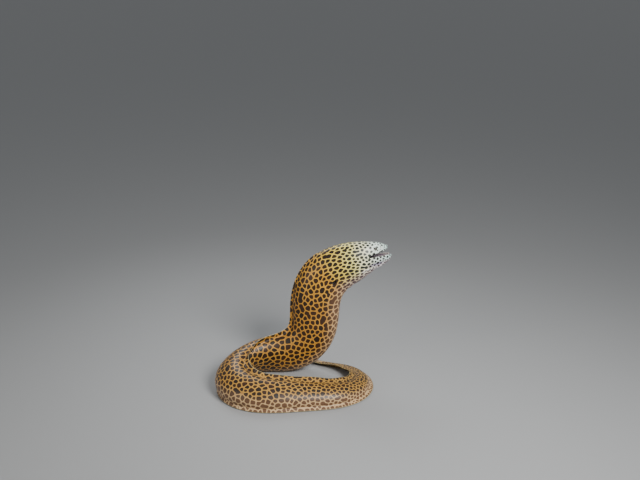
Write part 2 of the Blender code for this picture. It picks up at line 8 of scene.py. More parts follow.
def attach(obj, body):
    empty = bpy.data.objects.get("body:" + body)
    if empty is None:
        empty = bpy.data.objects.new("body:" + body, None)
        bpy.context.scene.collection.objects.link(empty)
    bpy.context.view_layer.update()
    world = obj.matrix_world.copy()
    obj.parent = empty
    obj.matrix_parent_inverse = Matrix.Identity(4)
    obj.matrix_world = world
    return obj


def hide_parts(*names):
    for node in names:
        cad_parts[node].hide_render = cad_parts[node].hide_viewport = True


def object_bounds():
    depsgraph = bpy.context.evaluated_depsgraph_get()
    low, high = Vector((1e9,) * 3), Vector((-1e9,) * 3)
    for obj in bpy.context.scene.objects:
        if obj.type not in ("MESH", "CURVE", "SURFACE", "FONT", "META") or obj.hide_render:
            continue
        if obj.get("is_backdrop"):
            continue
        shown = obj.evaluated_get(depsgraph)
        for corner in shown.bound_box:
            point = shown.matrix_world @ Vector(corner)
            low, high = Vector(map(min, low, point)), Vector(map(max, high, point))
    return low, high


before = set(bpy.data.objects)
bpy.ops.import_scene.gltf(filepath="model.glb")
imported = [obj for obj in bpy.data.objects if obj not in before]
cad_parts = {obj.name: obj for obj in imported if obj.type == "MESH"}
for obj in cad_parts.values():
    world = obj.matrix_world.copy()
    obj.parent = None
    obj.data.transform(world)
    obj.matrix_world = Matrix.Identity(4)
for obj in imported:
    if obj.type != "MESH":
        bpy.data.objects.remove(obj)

# Places along the spine line, measured from the chin, as in the part's source
TOTAL_LENGTH = 1.380
FLESH_END = 1.345
SNOUT_TIP = 0.005
MOUTH_CORNER = 0.064
VENT = 0.650
CHIN_X = 0.2447
CHIN_Y = 0.0925

# Turns of the spine line: where each starts and ends, and the share of it spent easing in and out
ARCH = (0.075, 0.320, 0.45)
SWEEP = (0.300, 0.540, 0.35)
FIRST_LOOP = (0.470, 0.910, 0.30)
SECOND_LOOP = (0.965, 1.330, 0.30)
HEAD_PITCH = -13.5
NECK_PITCH = -89.0
FIRST_LOOP_TURN = 186.0
SECOND_LOOP_TURN = 150.0
ROLL = ((0.00, 7.0), (0.15, 7.0), (0.34, 0.0), (0.46, -6.0), (0.65, -44.0), (1.00, -58.0), (1.38, -64.0))
BELLY_PRESS = 0.0026
FIRM_WIDTH = 0.030
LIFTED_BEFORE = 0.520
LIFT_EASE = 0.012

# Heights of the back, depths of the belly and half widths along the spine line
CROWN = (
    (0.005, 0.0235), (0.022, 0.0345), (0.050, 0.0442), (0.080, 0.0508), (0.110, 0.0556),
    (0.150, 0.0608), (0.200, 0.0655), (0.270, 0.0670), (0.420, 0.0610), (0.650, 0.0540),
    (0.860, 0.0440), (1.060, 0.0320), (1.220, 0.0190), (1.345, 0.0065),
)
THROAT = (
    (0.000, 0.0140), (0.014, 0.0220), (0.027, 0.0274), (0.048, 0.0338), (0.066, 0.0420),
    (0.090, 0.0530), (0.120, 0.0620), (0.150, 0.0674), (0.210, 0.0705), (0.300, 0.0672), (0.420, 0.0630),
    (0.650, 0.0540), (0.860, 0.0420), (1.060, 0.0300), (1.220, 0.0180), (1.345, 0.0065),
)
HALF_WIDTH = (
    (0.000, 0.0130), (0.012, 0.0160), (0.030, 0.0200), (0.050, 0.0262), (0.075, 0.0330),
    (0.110, 0.0375), (0.150, 0.0385), (0.200, 0.0405), (0.280, 0.0425), (0.420, 0.0415),
    (0.650, 0.0365), (0.860, 0.0280), (1.060, 0.0190), (1.220, 0.0105), (1.345, 0.0034),
)
BACK_ROUNDNESS = ((0.00, 2.3), (0.10, 2.15), (0.20, 1.95), (0.60, 2.0), (1.345, 2.0))
BELLY_ROUNDNESS = ((0.00, 2.2), (0.10, 2.2), (0.25, 2.3), (0.60, 2.3), (1.345, 2.0))

# Mouth
UPPER_LIP = (
    (0.005, 0.0182), (0.011, 0.0156), (0.034, 0.0130), (0.048, 0.0124), (0.057, 0.0102), (0.064, 0.0040),
)
LOWER_LIP = (
    (0.000, -0.0024), (0.005, -0.0013), (0.011, -0.0007), (0.034, 0.0009), (0.050, 0.0030), (0.064, 0.0040),
)
SNOUT_HEIGHT = 0.0225
CHIN_HEIGHT = -0.0064
PALATE_RISE = 0.0075
MOUTH_FLOOR_DROP = 0.0065
GULLET_END = 0.086
LIP_THICKNESS = 0.0027
LIP_BULGE = 0.0009
GUM_HEIGHT = 0.0012
GUM_INWARD = 0.0021
GUM_WIDTH = 0.0012
VAULT_POWER = 0.6
PLEATS = 9.0
PLEAT_DEPTH = 0.05
SOLID_TIP = 0.001
SEAM_FADE = 0.040
TIP_BLUNT = 0.0100

# Lengths over which the mouth closes or its forms grow, and the lining's soft steps as (start, length)
CORNER_CLOSING = 0.006
HOLLOW_GROWTH = 0.020
BULGE_GROWTH = 0.010
GUM_GROWTH = 0.008
LINING_RISE = (0.0012, 0.0025)
RIM_LINING = (0.30, 0.55)

# Eyes, nostrils and gill openings
EYE_AT = 0.0385
EYE_HEIGHT = 0.0248
EYE_RADIUS = 0.0058
EYE_PROUD = 0.0022
EYE_WRAP = 0.0092
EYE_SEGMENTS = 48
EYE_RINGS = 32
EYE_CLEARING = 0.34
EYE_CLEARING_WIDTH = 0.0100
FRONT_NOSTRIL_AT = 0.0085
FRONT_NOSTRIL_ANGLE = 48.0
REAR_NOSTRIL_AT = 0.0365
REAR_NOSTRIL_ANGLE = 30.0
NOSTRIL_SIDES = 32
GILL_AT = 0.184
GILL_ANGLE = 107.0

# Nostrils' profiles, as rows of (radius, rise, how dark the painted shade is)
FRONT_NOSTRIL = (
    (0.0030, -0.0012, 0.0), (0.0026, -0.0004, 0.0), (0.0021, 0.0004, 0.0), (0.00175, 0.0013, 0.0),
    (0.00160, 0.0024, 0.0), (0.00156, 0.0036, 0.0), (0.00160, 0.0043, 0.0), (0.00152, 0.0047, 0.0),
    (0.00130, 0.0048, 0.2), (0.00108, 0.0046, 0.6), (0.00098, 0.0040, 0.9), (0.00092, 0.0026, 1.0),
    (0.00080, 0.0012, 1.0), (0.00040, 0.0009, 1.0),
)
REAR_NOSTRIL = (
    (0.0029, -0.0009, 0.0), (0.0024, -0.0003, 0.0), (0.0020, 0.0002, 0.0), (0.0017, 0.0006, 0.0),
    (0.00145, 0.00075, 0.0), (0.00122, 0.0007, 0.2), (0.00106, 0.0005, 0.6), (0.00096, 0.0001, 0.95),
    (0.00088, -0.0003, 1.0), (0.00045, -0.0006, 1.0),
)

# Teeth
TOOTH_HEIGHT = 0.0036
TOOTH_RADIUS = 0.00062
TOOTH_ROOT = 0.0012
TOOTH_LEAN = 0.10
TOOTH_SWAY = 0.06
TOOTH_CURVE = 0.22
TEETH_END = MOUTH_CORNER - 0.012
TOOTH_RINGS = 8
TOOTH_SIDES = 12
TOOTH_SEED = 11

# Sizes of the teeth: the chance range, the first tooth's, the fall along the row, and the row's round front
TOOTH_SIZES = (0.75, 1.1)
FIRST_TOOTH = 1.25
TOOTH_FALL = 0.5
TEETH_LEAD = 0.006
TEETH_ROUNDING = 0.022

# Each row of teeth: its name, where it starts, the teeth on a side, the lip, up or down
TOOTH_ROWS = (
    ("teeth_upper", SNOUT_TIP + 0.004, 14, UPPER_LIP, 1),
    ("teeth_lower", 0.005, 15, LOWER_LIP, -1),
)

# Fins
SKIN_INSET = 0.0002
FIN_HALF_ROOT = 0.0026
FIN_HALF_MIDDLE = 0.0017
FIN_HALF_EDGE = 0.0007
FIN_MIDDLE_AT = 0.45
FIN_FLARE = 0.0012
ROOT_MARGIN = 0.0016
DORSAL_HEIGHT = (
    (0.172, 0.0022), (0.23, 0.0050), (0.34, 0.0090), (0.60, 0.0150), (1.00, 0.0180), (1.25, 0.0165),
    (1.345, 0.0125),
)
ANAL_HEIGHT = ((0.650, 0.0020), (0.70, 0.0065), (0.90, 0.0105), (1.15, 0.0125), (1.345, 0.0105))
FIN_RIPPLE = 6.0
FIN_RIPPLE_LENGTH = 0.105
RAY_SPACING = 0.0046
RAY_RELIEF = 0.00032
RAY_SLANT = 0.9
GAP = 0.0003

# Soft steps of the fins, as (start, length): the anal fin's is counted from the vent, the bend's up the fin
DORSAL_RISE = (0.158, 0.017)
ANAL_RISE = (-0.004, 0.014)
FIN_BEND = (-0.0015, 0.003)
ANAL_FOLD_EASE = 0.02

# The sway as (start, end, ease), the tail fin's roundness, and root widths as shares of the half width
DORSAL_SWAY = (0.30, 0.60, 0.4)
TAIL_POWERS = (2.4, 0.55)
STRIP_SHARE = 0.62
ROOT_SHARE = 0.6

# Heights at which a fin has its full form, colour and rays, and how far out on it the rays are full
FIN_GROWN = 0.003
FIN_MARKED = 0.002
RAYS_GROWN = 0.004
RAYS_OUT = 0.3

# Growth of each jaw from its tip: the length, then (rate, power) of its width, its outer edge and its lip
SNOUT_GROWTH = (0.022, (1.0, 2.0), (1.6, 2.3), (4.2, 2.0))
CHIN_GROWTH = (0.014, (1.0, 2.2), (1.2, 2.0), (3.0, 2.0))
CORNER_HEIGHT = UPPER_LIP[-1][1]

# Each jaw: where it starts, up or down, its lip, the height and growth of its tip, and the mouth's depth
JAWS = (
    (SNOUT_TIP, 1, UPPER_LIP, SNOUT_HEIGHT, SNOUT_GROWTH, PALATE_RISE),
    (0.0, -1, LOWER_LIP, CHIN_HEIGHT, CHIN_GROWTH, MOUTH_FLOOR_DROP),
)

# Relief of the skin, as rows of (height, distance, width): a ridge, or a groove where the height is under 0
EYE_RIM = ((0.0009, 0.0053, 0.0011), (-0.0004, 0.0084, 0.0018))
UPPER_LIP_RELIEF = ((0.0007, 0.0016, 0.0018), (-0.0005, 0.0052, 0.0014))
LOWER_LIP_RELIEF = ((0.0008, 0.0018, 0.0020), (-0.0005, 0.0060, 0.0016))
CORNER_CREASE = ((-0.0012, 0.0, 0.0011), (0.0005, 0.0030, 0.0018))
CORNER_ARC = ((-0.0013, 0.0100, 0.0016), (0.0006, 0.0136, 0.0020))
FOLD_RELIEF = ((0.0017, 0.0, 0.0023), (-0.0013, -0.0048, 0.0020))
JAW_EDGE = ((0.0007, -0.0075, 0.0045), (-0.0013, -0.0170, 0.0042))

# The same round the gill opening, with its distance and width as shares of the opening's size
GILL_RIM = ((0.0009, 1.35, 0.35),)

# The cheek's muscle and hollow: height of the relief, place, length, height over the spine line, width
CHEEK_MUSCLE = (0.0010, 0.105, 0.026, 0.024, 0.018)
CHEEK_HOLLOW = (-0.0007, 0.058, 0.012, 0.024, 0.010)

# Where along the body the relief is, as (start, rise, end, fall)
LIP_SPAN = (0.004, 0.012, MOUTH_CORNER + 0.004, 0.010)
JAW_SPAN = (0.006, 0.014, 0.084, 0.026)
PLEAT_SPAN = (0.078, 0.030, 0.205, 0.030)

# The shade under the jaw's edge: where it starts, then its height and width
SHADOW_RISE = (0.020, 0.016)
SHADOW_HEIGHT = -0.0178
SHADOW_WIDTH = 0.0052

# Lines that the creases follow, as (place along the spine line, height)
CORNER_LINE = ((0.060, 0.0042), (0.070, 0.0026), (0.083, -0.0016))
THROAT_FOLD = (
    (0.022, -0.0215), (0.034, -0.0258), (0.046, -0.0276), (0.060, -0.0270), (0.074, -0.0262),
    (0.098, -0.0310),
)

# The middle of the curved crease, and the angle that it keeps within, as a soft step (end, length)
CORNER_TURN = (0.0690, 0.0080)
ARC_FACING = (0.95, 0.4)

# Pores, gill openings, eye sockets, pleats, wrinkles, gullet and belly, with soft steps as (place, length)
UPPER_PORES = (0.019, 0.029, 0.040, 0.051)
LOWER_PORES = (0.014, 0.024, 0.035, 0.046, 0.056)
UPPER_PORE_RISE = 0.0048
LOWER_PORE_DROP = 0.0085
PORE_RADIUS = 0.00055
PORE_DEPTH = 0.0004
PORE_RIM = 0.0001
PORE_RIM_AT = 1.9 * PORE_RADIUS
PORE_RIM_WIDTH = 0.7 * PORE_RADIUS
PORE_SHADE = (1.25 * PORE_RADIUS, 0.6 * PORE_RADIUS)
GILL_HALF_LENGTH = 0.0080
GILL_HALF_HEIGHT = 0.0048
GILL_DEPTH = 0.0042
GILL_DIP = (1.12, 0.5)
GILL_SHADE = (1.0, 0.35)
GILL_REACH = 0.03
EYE_SOCKET = 0.0034
SOCKET_EDGE = (0.0047, 0.0011)
EYE_RELIEF_END = 0.075
PLEAT_SPACING = 0.0082
PLEAT_RELIEF = 0.00085
PLEAT_TOP = (-0.008, 0.012)
PLEAT_SLANT = 0.30
PLEAT_LEVEL_AT = 0.10
PLEAT_WANDER = 0.5
PLEAT_WANDER_LENGTH = 0.03
PLEAT_SEED = 5
WRINKLE_SPACING = 0.0075
WRINKLE_DEPTH = 0.00045
WRINKLE_RISE = (0.12, 0.35)
WRINKLE_FADE = 0.1
WRINKLE_WANDER = 0.9
WRINKLE_SEED = 8
GULLET_WIDTH = 0.94
FLOOR_EDGE = 0.0006

# Rounding of the lips and of the jaws' tips, the line between the two lips, and how dark the painted shade in
# the pores and the curved crease is
SOFTENING = 0.5
LIP_SOFT_WIDTH = 0.0022
LIP_SOFT_RISE = (0.002, 0.004)
LIP_SOFT_END = MOUTH_CORNER + 0.004
LIP_SOFT_ROUNDS = 6
TIP_SOFT_LENGTH = 0.0035
TIP_SOFT_ROUNDS = 30
MOUTH_MIDDLE = 0.007
MOUTH_DROOP = 0.003
DROOP_RISE = (0.05, 0.014)
PORE_DARKNESS = 0.7
CREASE_DARKNESS = 0.75

# Rows along the body, with the steps up to each end, and points around it
MOUTH_ROWS = 130
BODY_STEPS = ((0.125, 0.00055), (0.330, 0.00085), (FLESH_END, 0.00125))
TIP_ROWS = 34
LAST_ROW = 0.9995
UPPER_SIDE = 72
LOWER_SIDE = 56
FIN_LEVELS = 12
RIM_POINTS = 5
MOUTH_POINTS = 57
INSIDE_POINTS = MOUTH_POINTS + 2 * RIM_POINTS
CURVE_SAMPLES = 160
SPINE_POINTS = 1381
RING_POINTS = 73

# Pattern along the body: the spacing of the dark spots in metres, then shares of that spacing
SPOT_PITCH = (
    (0.000, 0.0076), (0.030, 0.0084), (0.060, 0.0094), (0.100, 0.0108), (0.150, 0.0122), (0.200, 0.0132),
    (0.280, 0.0138), (0.500, 0.0144), (0.800, 0.0132), (1.000, 0.0112), (1.200, 0.0090), (1.380, 0.0068),
)
NET_WIDTH = ((0.00, 0.33), (0.03, 0.30), (0.07, 0.25), (0.12, 0.21), (0.18, 0.17), (0.30, 0.16), (1.38, 0.18))
SPOT_REACH = ((0.00, 0.46), (0.04, 0.48), (0.09, 0.53), (0.16, 0.59), (0.30, 0.63), (1.38, 0.63))
SPOT_STRETCH = ((0.00, 1.05), (0.06, 1.12), (0.12, 1.26), (0.20, 1.22), (0.28, 1.08), (1.38, 1.08))
SPOT_VARIETY = 0.070
PATTERN_SEED = 23
PATTERN_SAMPLES = 60000
MERGED_SHARE = 0.04
SPOT_SHARPNESS = 9.0
FAR_AWAY = 9.0

# The spots' first spacing, its evening out, the merging of two, and how many spots a vertex looks at
SPOT_SPACING = 0.80
EVENING_ROUNDS = 2
EVENING_SHARE = 0.7
MERGE_NEAREST = 7
MERGE_ALONG = 0.80
VARIETY_LIMITS = (-0.20, 0.16)
SPOTS_READ = 6

# Camera: it looks along +Y and a little down, from the photo's distance
LENS = 50.0
SENSOR = 36.0
CAMERA_DISTANCE = 2.46
CAMERA_RISE = 20.0
AIM_AT = 0.271
AIM_ASIDE = 0.0094
AIM_OVER = 0.1655

# Lights, as rows of (name, place, size, power, colour, spread)
LIGHTS = (
    ("key", (1.0, -1.25, 1.55), 0.9, 25.0, (1.0, 0.99, 0.97), 120.0),
    ("fill", (-1.6, -1.1, 0.8), 1.2, 4.0, (1.0, 0.95, 0.88), 120.0),
    ("back", (-0.5, 1.3, 1.5), 1.2, 2.2, (0.95, 0.98, 1.0), 60.0),
)
LIGHTS_AIM = (0.0, 0.0, 0.15)
WORLD_COLOUR = (0.80, 0.82, 0.84)
WORLD_STRENGTH = 0.38

# Floor
GROUND_SIZE = 80.0
GROUND_DROP = 0.0003


def eased(t, ease):
    """A turn from 0 to 1 whose rate rises over ease, holds and falls over ease."""
    t = np.clip(t, 0.0, 1.0)
    rate = 1.0 / (1.0 - ease)
    rising = 0.5 * rate * t * t / ease
    steady = rate * (t - 0.5 * ease)
    falling = 1.0 - 0.5 * rate * (1.0 - t) ** 2 / ease
    return np.where(t < ease, rising, np.where(t < 1.0 - ease, steady, falling))


def turned(s, turn):
    """How much of a turn (start, end, ease) is done at s."""
    start, end, ease = turn
    return eased((s - start) / (end - start), ease)


def read_table(table, s):
    """A smooth curve through a table's points that doesn't overshoot them."""
    places = np.array([row[0] for row in table])
    values = np.array([row[1] for row in table])
    step = np.diff(places)
    slope = np.diff(values) / step
    same = slope[1:] * slope[:-1] > 0
    front = 2 * step[1:] + step[:-1]
    back = step[1:] + 2 * step[:-1]
    steep = front / np.where(same, slope[:-1], 1.0) + back / np.where(same, slope[1:], 1.0)
    grade = np.zeros(len(places))
    grade[1:-1] = np.where(same, (front + back) / steep, 0.0)
    grade[0] = slope[0]
    grade[-1] = slope[-1]
    s = np.clip(s, places[0], places[-1])
    i = np.clip(np.searchsorted(places, s, side="right") - 1, 0, len(step) - 1)
    t = (s - places[i]) / step[i]
    first = (1 + 2 * t) * (1 - t) ** 2 * values[i] + t * (1 - t) ** 2 * step[i] * grade[i]
    second = t * t * (3 - 2 * t) * values[i + 1] + t * t * (t - 1) * step[i] * grade[i + 1]
    return first + second


def rounded(t, power):
    """A blunt rounded end: 0 at the tip, 1 once t reaches 1."""
    t = np.clip(t, 0.0, 1.0)
    return (1.0 - (1.0 - t) ** power) ** (1.0 / power)


def smooth(t):
    """A soft step from 0 to 1."""
    t = np.clip(t, 0.0, 1.0)
    return t * t * (3.0 - 2.0 * t)


def bell(distance, width):
    """1 in the middle, falling away over the width."""
    return np.exp(-((distance / width) ** 2))


def ridges(distance, rows):
    """Ridges and grooves, from rows of (height, distance, width)."""
    return sum(height * bell(distance - at, width) for height, at, width in rows)


def rising(value, start, length):
    """A soft step from 0 at the start to 1 a length further."""
    return smooth((value - start) / length)


def falling(value, end, length):
    """A soft step from 1 down to 0 at the end, over the length before it."""
    return smooth((end - value) / length)


def window(value, start, rise, end, fall):
    """1 between the start and the end, with a soft rise and fall."""
    return rising(value, start, rise) * falling(value, end, fall)


def unit(rows):
    """Rows scaled to length 1."""
    return rows / np.maximum(np.linalg.norm(rows, axis=-1, keepdims=True), 1e-12)


def beside(*columns):
    """Grids joined side by side."""
    return np.concatenate(columns, axis=1)


def running(steps):
    """Running sums along each row, from 0."""
    return beside(np.zeros((len(steps), 1)), np.cumsum(steps, axis=1))


def tail_share(s):
    """0 where there is flesh, rising to 1 at the tip of the tail fin."""
    return np.clip((s - FLESH_END) / (TOTAL_LENGTH - FLESH_END), 0.0, 1.0)


def crown(s):
    return read_table(CROWN, s) * (1.0 - tail_share(s))


def throat(s):
    return read_table(THROAT, s) * (1.0 - tail_share(s))


def half_width(s):
    t = tail_share(s)
    return read_table(HALF_WIDTH, s) * (1.0 - t) + FIN_HALF_EDGE * t


def tail_spread(s):
    """Height of the rounded tail fin, as a share of its height where the flesh ends."""
    inner, outer = TAIL_POWERS
    return np.maximum(1.0 - tail_share(s) ** inner, 0.0) ** outer


def dorsal_height(s):
    """Height of the fin over the back."""
    grown = read_table(DORSAL_HEIGHT, s) * rising(s, *DORSAL_RISE)
    top = read_table(CROWN, s) + grown
    return np.where(s > FLESH_END, top * tail_spread(s) - crown(s), grown)


def anal_height(s):
    """Height of the fin under the tail."""
    grown = read_table(ANAL_HEIGHT, s) * rising(s - VENT, *ANAL_RISE)
    top = read_table(THROAT, s) + grown
    return np.where(s > FLESH_END, top * tail_spread(s) - throat(s), grown)


def pitch_at(s):
    down = (NECK_PITCH - HEAD_PITCH) * turned(s, ARCH)
    level = -NECK_PITCH * turned(s, SWEEP)
    return np.radians(HEAD_PITCH + down + level)


def yaw_at(s):
    loops = FIRST_LOOP_TURN * turned(s, FIRST_LOOP) + SECOND_LOOP_TURN * turned(s, SECOND_LOOP)
    return np.radians(180.0 + loops)


def section(s, angles):
    """Points of the skin as offsets to the left and towards the back. Angle 0 is the middle of the back."""
    cos = np.cos(angles)
    sin = np.sin(angles)
    back = 2.0 / read_table(BACK_ROUNDNESS, s)
    belly = 2.0 / read_table(BELLY_ROUNDNESS, s)
    power = np.where(cos >= 0, back, belly)
    reach = np.where(cos >= 0, crown(s), throat(s))
    side = half_width(s) * np.sign(sin) * np.abs(sin) ** power
    height = reach * np.sign(cos) * np.abs(cos) ** power
    return side, height


def summed(rate, step):
    """Running integral of evenly spaced values."""
    return np.concatenate([[0.0], np.cumsum(0.5 * (rate[1:] + rate[:-1]) * step)])


class Spine:
    """The spine line with its frames: where it is, and which ways are tailward, towards the back and left."""

    def __init__(self):
        self.s = np.linspace(0.0, TOTAL_LENGTH, SPINE_POINTS)
        step = self.s[1] - self.s[0]
        pitch = pitch_at(self.s)
        yaw = yaw_at(self.s)
        roll = np.radians(read_table(ROLL, self.s))
        x = CHIN_X + summed(np.cos(pitch) * np.cos(yaw), step)
        y = CHIN_Y + summed(np.cos(pitch) * np.sin(yaw), step)
        fall = summed(np.sin(pitch), step)
        self.place = np.stack([x, y, self.resting(roll) + fall - fall[-1]], axis=1)
        self.tail = unit(np.gradient(self.place, step, axis=0))
        up = np.stack([-np.sin(pitch) * np.cos(yaw), -np.sin(pitch) * np.sin(yaw), np.cos(pitch)], axis=1)
        up = unit(up - (up * self.tail).sum(axis=1)[:, None] * self.tail)
        left = np.cross(self.tail, up)
        cos = np.cos(roll)[:, None]
        sin = np.sin(roll)[:, None]
        self.up = up * cos + left * sin
        self.left = left * cos - up * sin

    def resting(self, roll):
        """Height of the spine line over the floor, kept level where the neck and head are lifted."""
        s = np.minimum(self.s, FLESH_END)[:, None]
        side, height = section(s, np.linspace(0.0, 2.0 * math.pi, RING_POINTS)[None, :])
        lowest = (height * np.cos(roll)[:, None] - side * np.sin(roll)[:, None]).min(axis=1)
        softness = np.minimum(1.0, half_width(s[:, 0]) / FIRM_WIDTH)
        lying = LIFTED_BEFORE + LIFT_EASE * np.log1p(np.exp((self.s - LIFTED_BEFORE) / LIFT_EASE))
        return np.interp(lying, self.s, -lowest - BELLY_PRESS * softness)

    def frame(self, s):
        """Place, tailward, up and left at one s."""
        return [field[0] for field in self.frames(np.array([s]))]

    def frames(self, s):
        """Place, tailward, up and left at each s."""
        fields = (self.place, self.tail, self.up, self.left)
        return [np.stack([np.interp(s, self.s, field[:, k]) for k in range(3)], axis=-1) for field in fields]

    def points(self, s, side, height):
        """World places of rows of offsets, one row for each s."""
        place, _, up, left = self.frames(s)
        return place[:, None] + left[:, None] * side[..., None] + up[:, None] * height[..., None]

    def skin(self, s, angle):
        """A point of the skin and the way out of it there."""
        near = 0.0005
        rows = np.array([s, s - near, s + near])
        side, height = section(rows[:, None], np.array([[angle - 0.02, angle, angle + 0.02]]))
        ring = self.points(rows, side, height)
        out = unit(np.cross(ring[0, 2] - ring[0, 0], ring[2, 1] - ring[1, 1]))
        if np.dot(out, ring[0, 1] - self.frames(rows[:1])[0][0]) < 0:
            out = -out
        return ring[0, 1], out


def resampled(side, height, shares):
    """Each row's curve redrawn with its points at the given shares of its length."""
    step = np.hypot(np.diff(side, axis=1), np.diff(height, axis=1))
    length = running(step)
    length = length / length[:, -1:]
    new_side = np.array([np.interp(shares, l, row) for l, row in zip(length, side)])
    new_height = np.array([np.interp(shares, l, row) for l, row in zip(length, height)])
    return new_side, new_height


def root_reach(s):
    """Half width of the strip along the back that a fin grows from."""
    return np.minimum(FIN_HALF_ROOT + ROOT_MARGIN, STRIP_SHARE * half_width(s))


def side_curve(s, limit, reach, middle, power, shares):
    """One side's skin from the limit angle to the strip that a fin grows from."""
    share = np.clip(reach / half_width(s), 0.0, 1.0) ** (1.0 / power)
    last = np.abs(middle - np.arcsin(share))
    t = np.linspace(0.0, 1.0, CURVE_SAMPLES)[None, :]
    angles = limit[:, None] * (1 - t) + last[:, None] * t
    side, height = section(s[:, None], angles)
    return resampled(side, height, shares)


def ray(s, beyond):
    """Ridges of the fin rays, which slant tailward from root to edge."""
    phase = (s - RAY_SLANT * beyond) / RAY_SPACING
    wave = 0.5 + 0.5 * np.cos(2 * math.pi * phase)
    return wave**2 - 0.35


def fin_thickness(wide, reach, out, grown):
    """Half the thickness from the flare at the root over the middle to the edge."""
    root = np.minimum(FIN_HALF_ROOT, ROOT_SHARE * wide)
    middle = np.minimum(FIN_HALF_MIDDLE, root)
    inner = root + (middle - root) * out / FIN_MIDDLE_AT
    outer = middle + (FIN_HALF_EDGE - middle) * (out - FIN_MIDDLE_AT) / (1.0 - FIN_MIDDLE_AT)
    flare = (reach - root) * np.exp(-np.maximum(grown, 0.0) / FIN_FLARE)
    return np.where(out < FIN_MIDDLE_AT, inner, outer) + flare


def over_edge(one, two):
    """One side's values from root to edge, then the other's from the edge back to the root."""
    return beside(one, two[:, -2::-1])


def strip_curve(s, reach, way, fin, lean):
    """The strip from one root over the fin's edge to the other: offsets, and how far out on the fin."""
    s, reach, fin, lean = (values[:, None] for values in (s, reach, fin, lean))
    power = 2.0 / read_table(BACK_ROUNDNESS if way > 0 else BELLY_ROUNDNESS, s)
    body = crown(s) if way > 0 else throat(s)
    wide = half_width(s)
    t = np.linspace(0.0, 1.0, FIN_LEVELS + 1)[None, :]
    flat_side = reach * (1 - t)
    share = (flat_side / wide) ** (1.0 / power)
    flat_height = body * np.maximum(1 - share**2, 0.0) ** (0.5 * power)
    start = flat_height[:, :1] - body
    beyond = start + (fin - start) * t**1.15
    out = np.clip(beyond / np.maximum(fin, 1e-6), 0.0, 1.0)
    half = fin_thickness(wide, reach, out, beyond - start)
    half = half + RAY_RELIEF * ray(s, beyond) * smooth(out / RAYS_OUT) * smooth(fin / RAYS_GROWN)
    half[:, -1] = 0.0
    half[:, -2] = np.minimum(half[:, -2], FIN_HALF_EDGE)
    bend = lean * rising(beyond, *FIN_BEND)
    step = np.diff(beyond, axis=1)
    angle = 0.5 * (bend[:, 1:] + bend[:, :-1])
    aside = running(step * np.sin(angle))
    rise = body + start + running(step * np.cos(angle))
    grown = smooth(fin / FIN_GROWN)
    sides = []
    heights = []
    for hand in (1, -1):
        fin_side = aside + hand * half * np.cos(bend)
        fin_height = rise - hand * half * np.sin(bend)
        sides.append(hand * flat_side + (fin_side - hand * flat_side) * grown)
        heights.append(flat_height + (fin_height - flat_height) * grown)
    return over_edge(*sides), over_edge(*heights) * way, over_edge(*[out * smooth(fin / FIN_MARKED)] * 2)


def dorsal_lean(s):
    """The fin along the back sways gently to one side and the other."""
    return np.radians(FIN_RIPPLE) * turned(s, DORSAL_SWAY) * np.sin(2 * math.pi * s / FIN_RIPPLE_LENGTH)


def anal_lean(spine, s):
    """The fin under the tail folds outward just enough to lie along the floor."""
    place, _, up, left = spine.frames(s)
    root = throat(np.minimum(s, FLESH_END))
    height = np.maximum(read_table(ANAL_HEIGHT, s), 1e-6)
    clear = place[:, 2] - up[:, 2] * root - FIN_HALF_MIDDLE - 2 * GAP
    size = np.hypot(up[:, 2], left[:, 2])
    turn = np.arccos(np.clip(clear / (height * size), -1.0, 1.0)) - np.arctan2(left[:, 2], up[:, 2])
    return np.clip(turn, 0.0, math.pi / 2) * rising(s, VENT, ANAL_FOLD_EASE)


def side_angle(s, height):
    """The angle at which the skin at s has a given height over the spine line."""
    over = np.asarray(height) >= 0
    reach = np.where(over, read_table(CROWN, s), read_table(THROAT, s))
    roundness = np.where(over, read_table(BACK_ROUNDNESS, s), read_table(BELLY_ROUNDNESS, s))
    from_level = np.arcsin(np.clip(np.abs(height) / reach, 0.0, 1.0) ** (roundness / 2.0))
    return np.where(over, math.pi / 2 - from_level, math.pi / 2 + from_level)


def seam_angle(s):
    """Where the skin over the back meets the skin under the belly, behind the mouth's corner."""
    return side_angle(s, CORNER_HEIGHT * np.clip(1.0 - (s - MOUTH_CORNER) / SEAM_FADE, 0.0, 1.0))


def jaw_growth(s, start, growth):
    """How far the width, the outer edge and the lip have grown at s."""
    length, *ways = growth
    t = (s - start) / length
    return [rounded(rate * t, power) for rate, power in ways]


def shaped_tip(height, tip, way, edge, lip):
    """Heights drawn towards the jaw's tip, by one share beyond it and by another on the mouth's side."""
    return tip + (height - tip) * np.where((height - tip) * way > 0, edge, lip)


def narrowing(s, tip, lip):
    """How wide the jaw is at its tip's height, as a share of its width at the lip."""
    at_tip = section(s, side_angle(s, tip))[0]
    at_lip = section(s, side_angle(s, lip))[0]
    return np.clip(at_tip / at_lip, 0.5, 1.0)


def blunted(far, side, height, tip, way, lip_side, lip, narrow):
    """Takes the edge off the lip near the jaw's tip, which is round across as well as up and down."""
    share = 1.0 - smooth(far / TIP_BLUNT)[:, None]
    wide = np.maximum(np.abs(lip_side), 1e-6)[:, None]
    deep = np.maximum((tip - lip) * way, 1e-6)[:, None]
    across = np.abs(side) / wide
    down = np.maximum((tip - height) * way, 0.0) / deep
    inner = np.maximum(across, down) / np.maximum(np.hypot(across, down), 1e-6)
    scale = np.where(down > 0, 1.0 + (inner - 1.0) * share, 1.0)
    closer = narrow[:, None] ** (np.minimum(down, 1.0) * share)
    return side * scale * closer, tip + (height - tip) * scale


def closer_at_lip(count):
    """Places of the points along one side, as shares of its length, closer together near the lip."""
    t = np.linspace(0.0, 1.0, count + 1)
    return 0.35 * t**2 + 0.65 * t


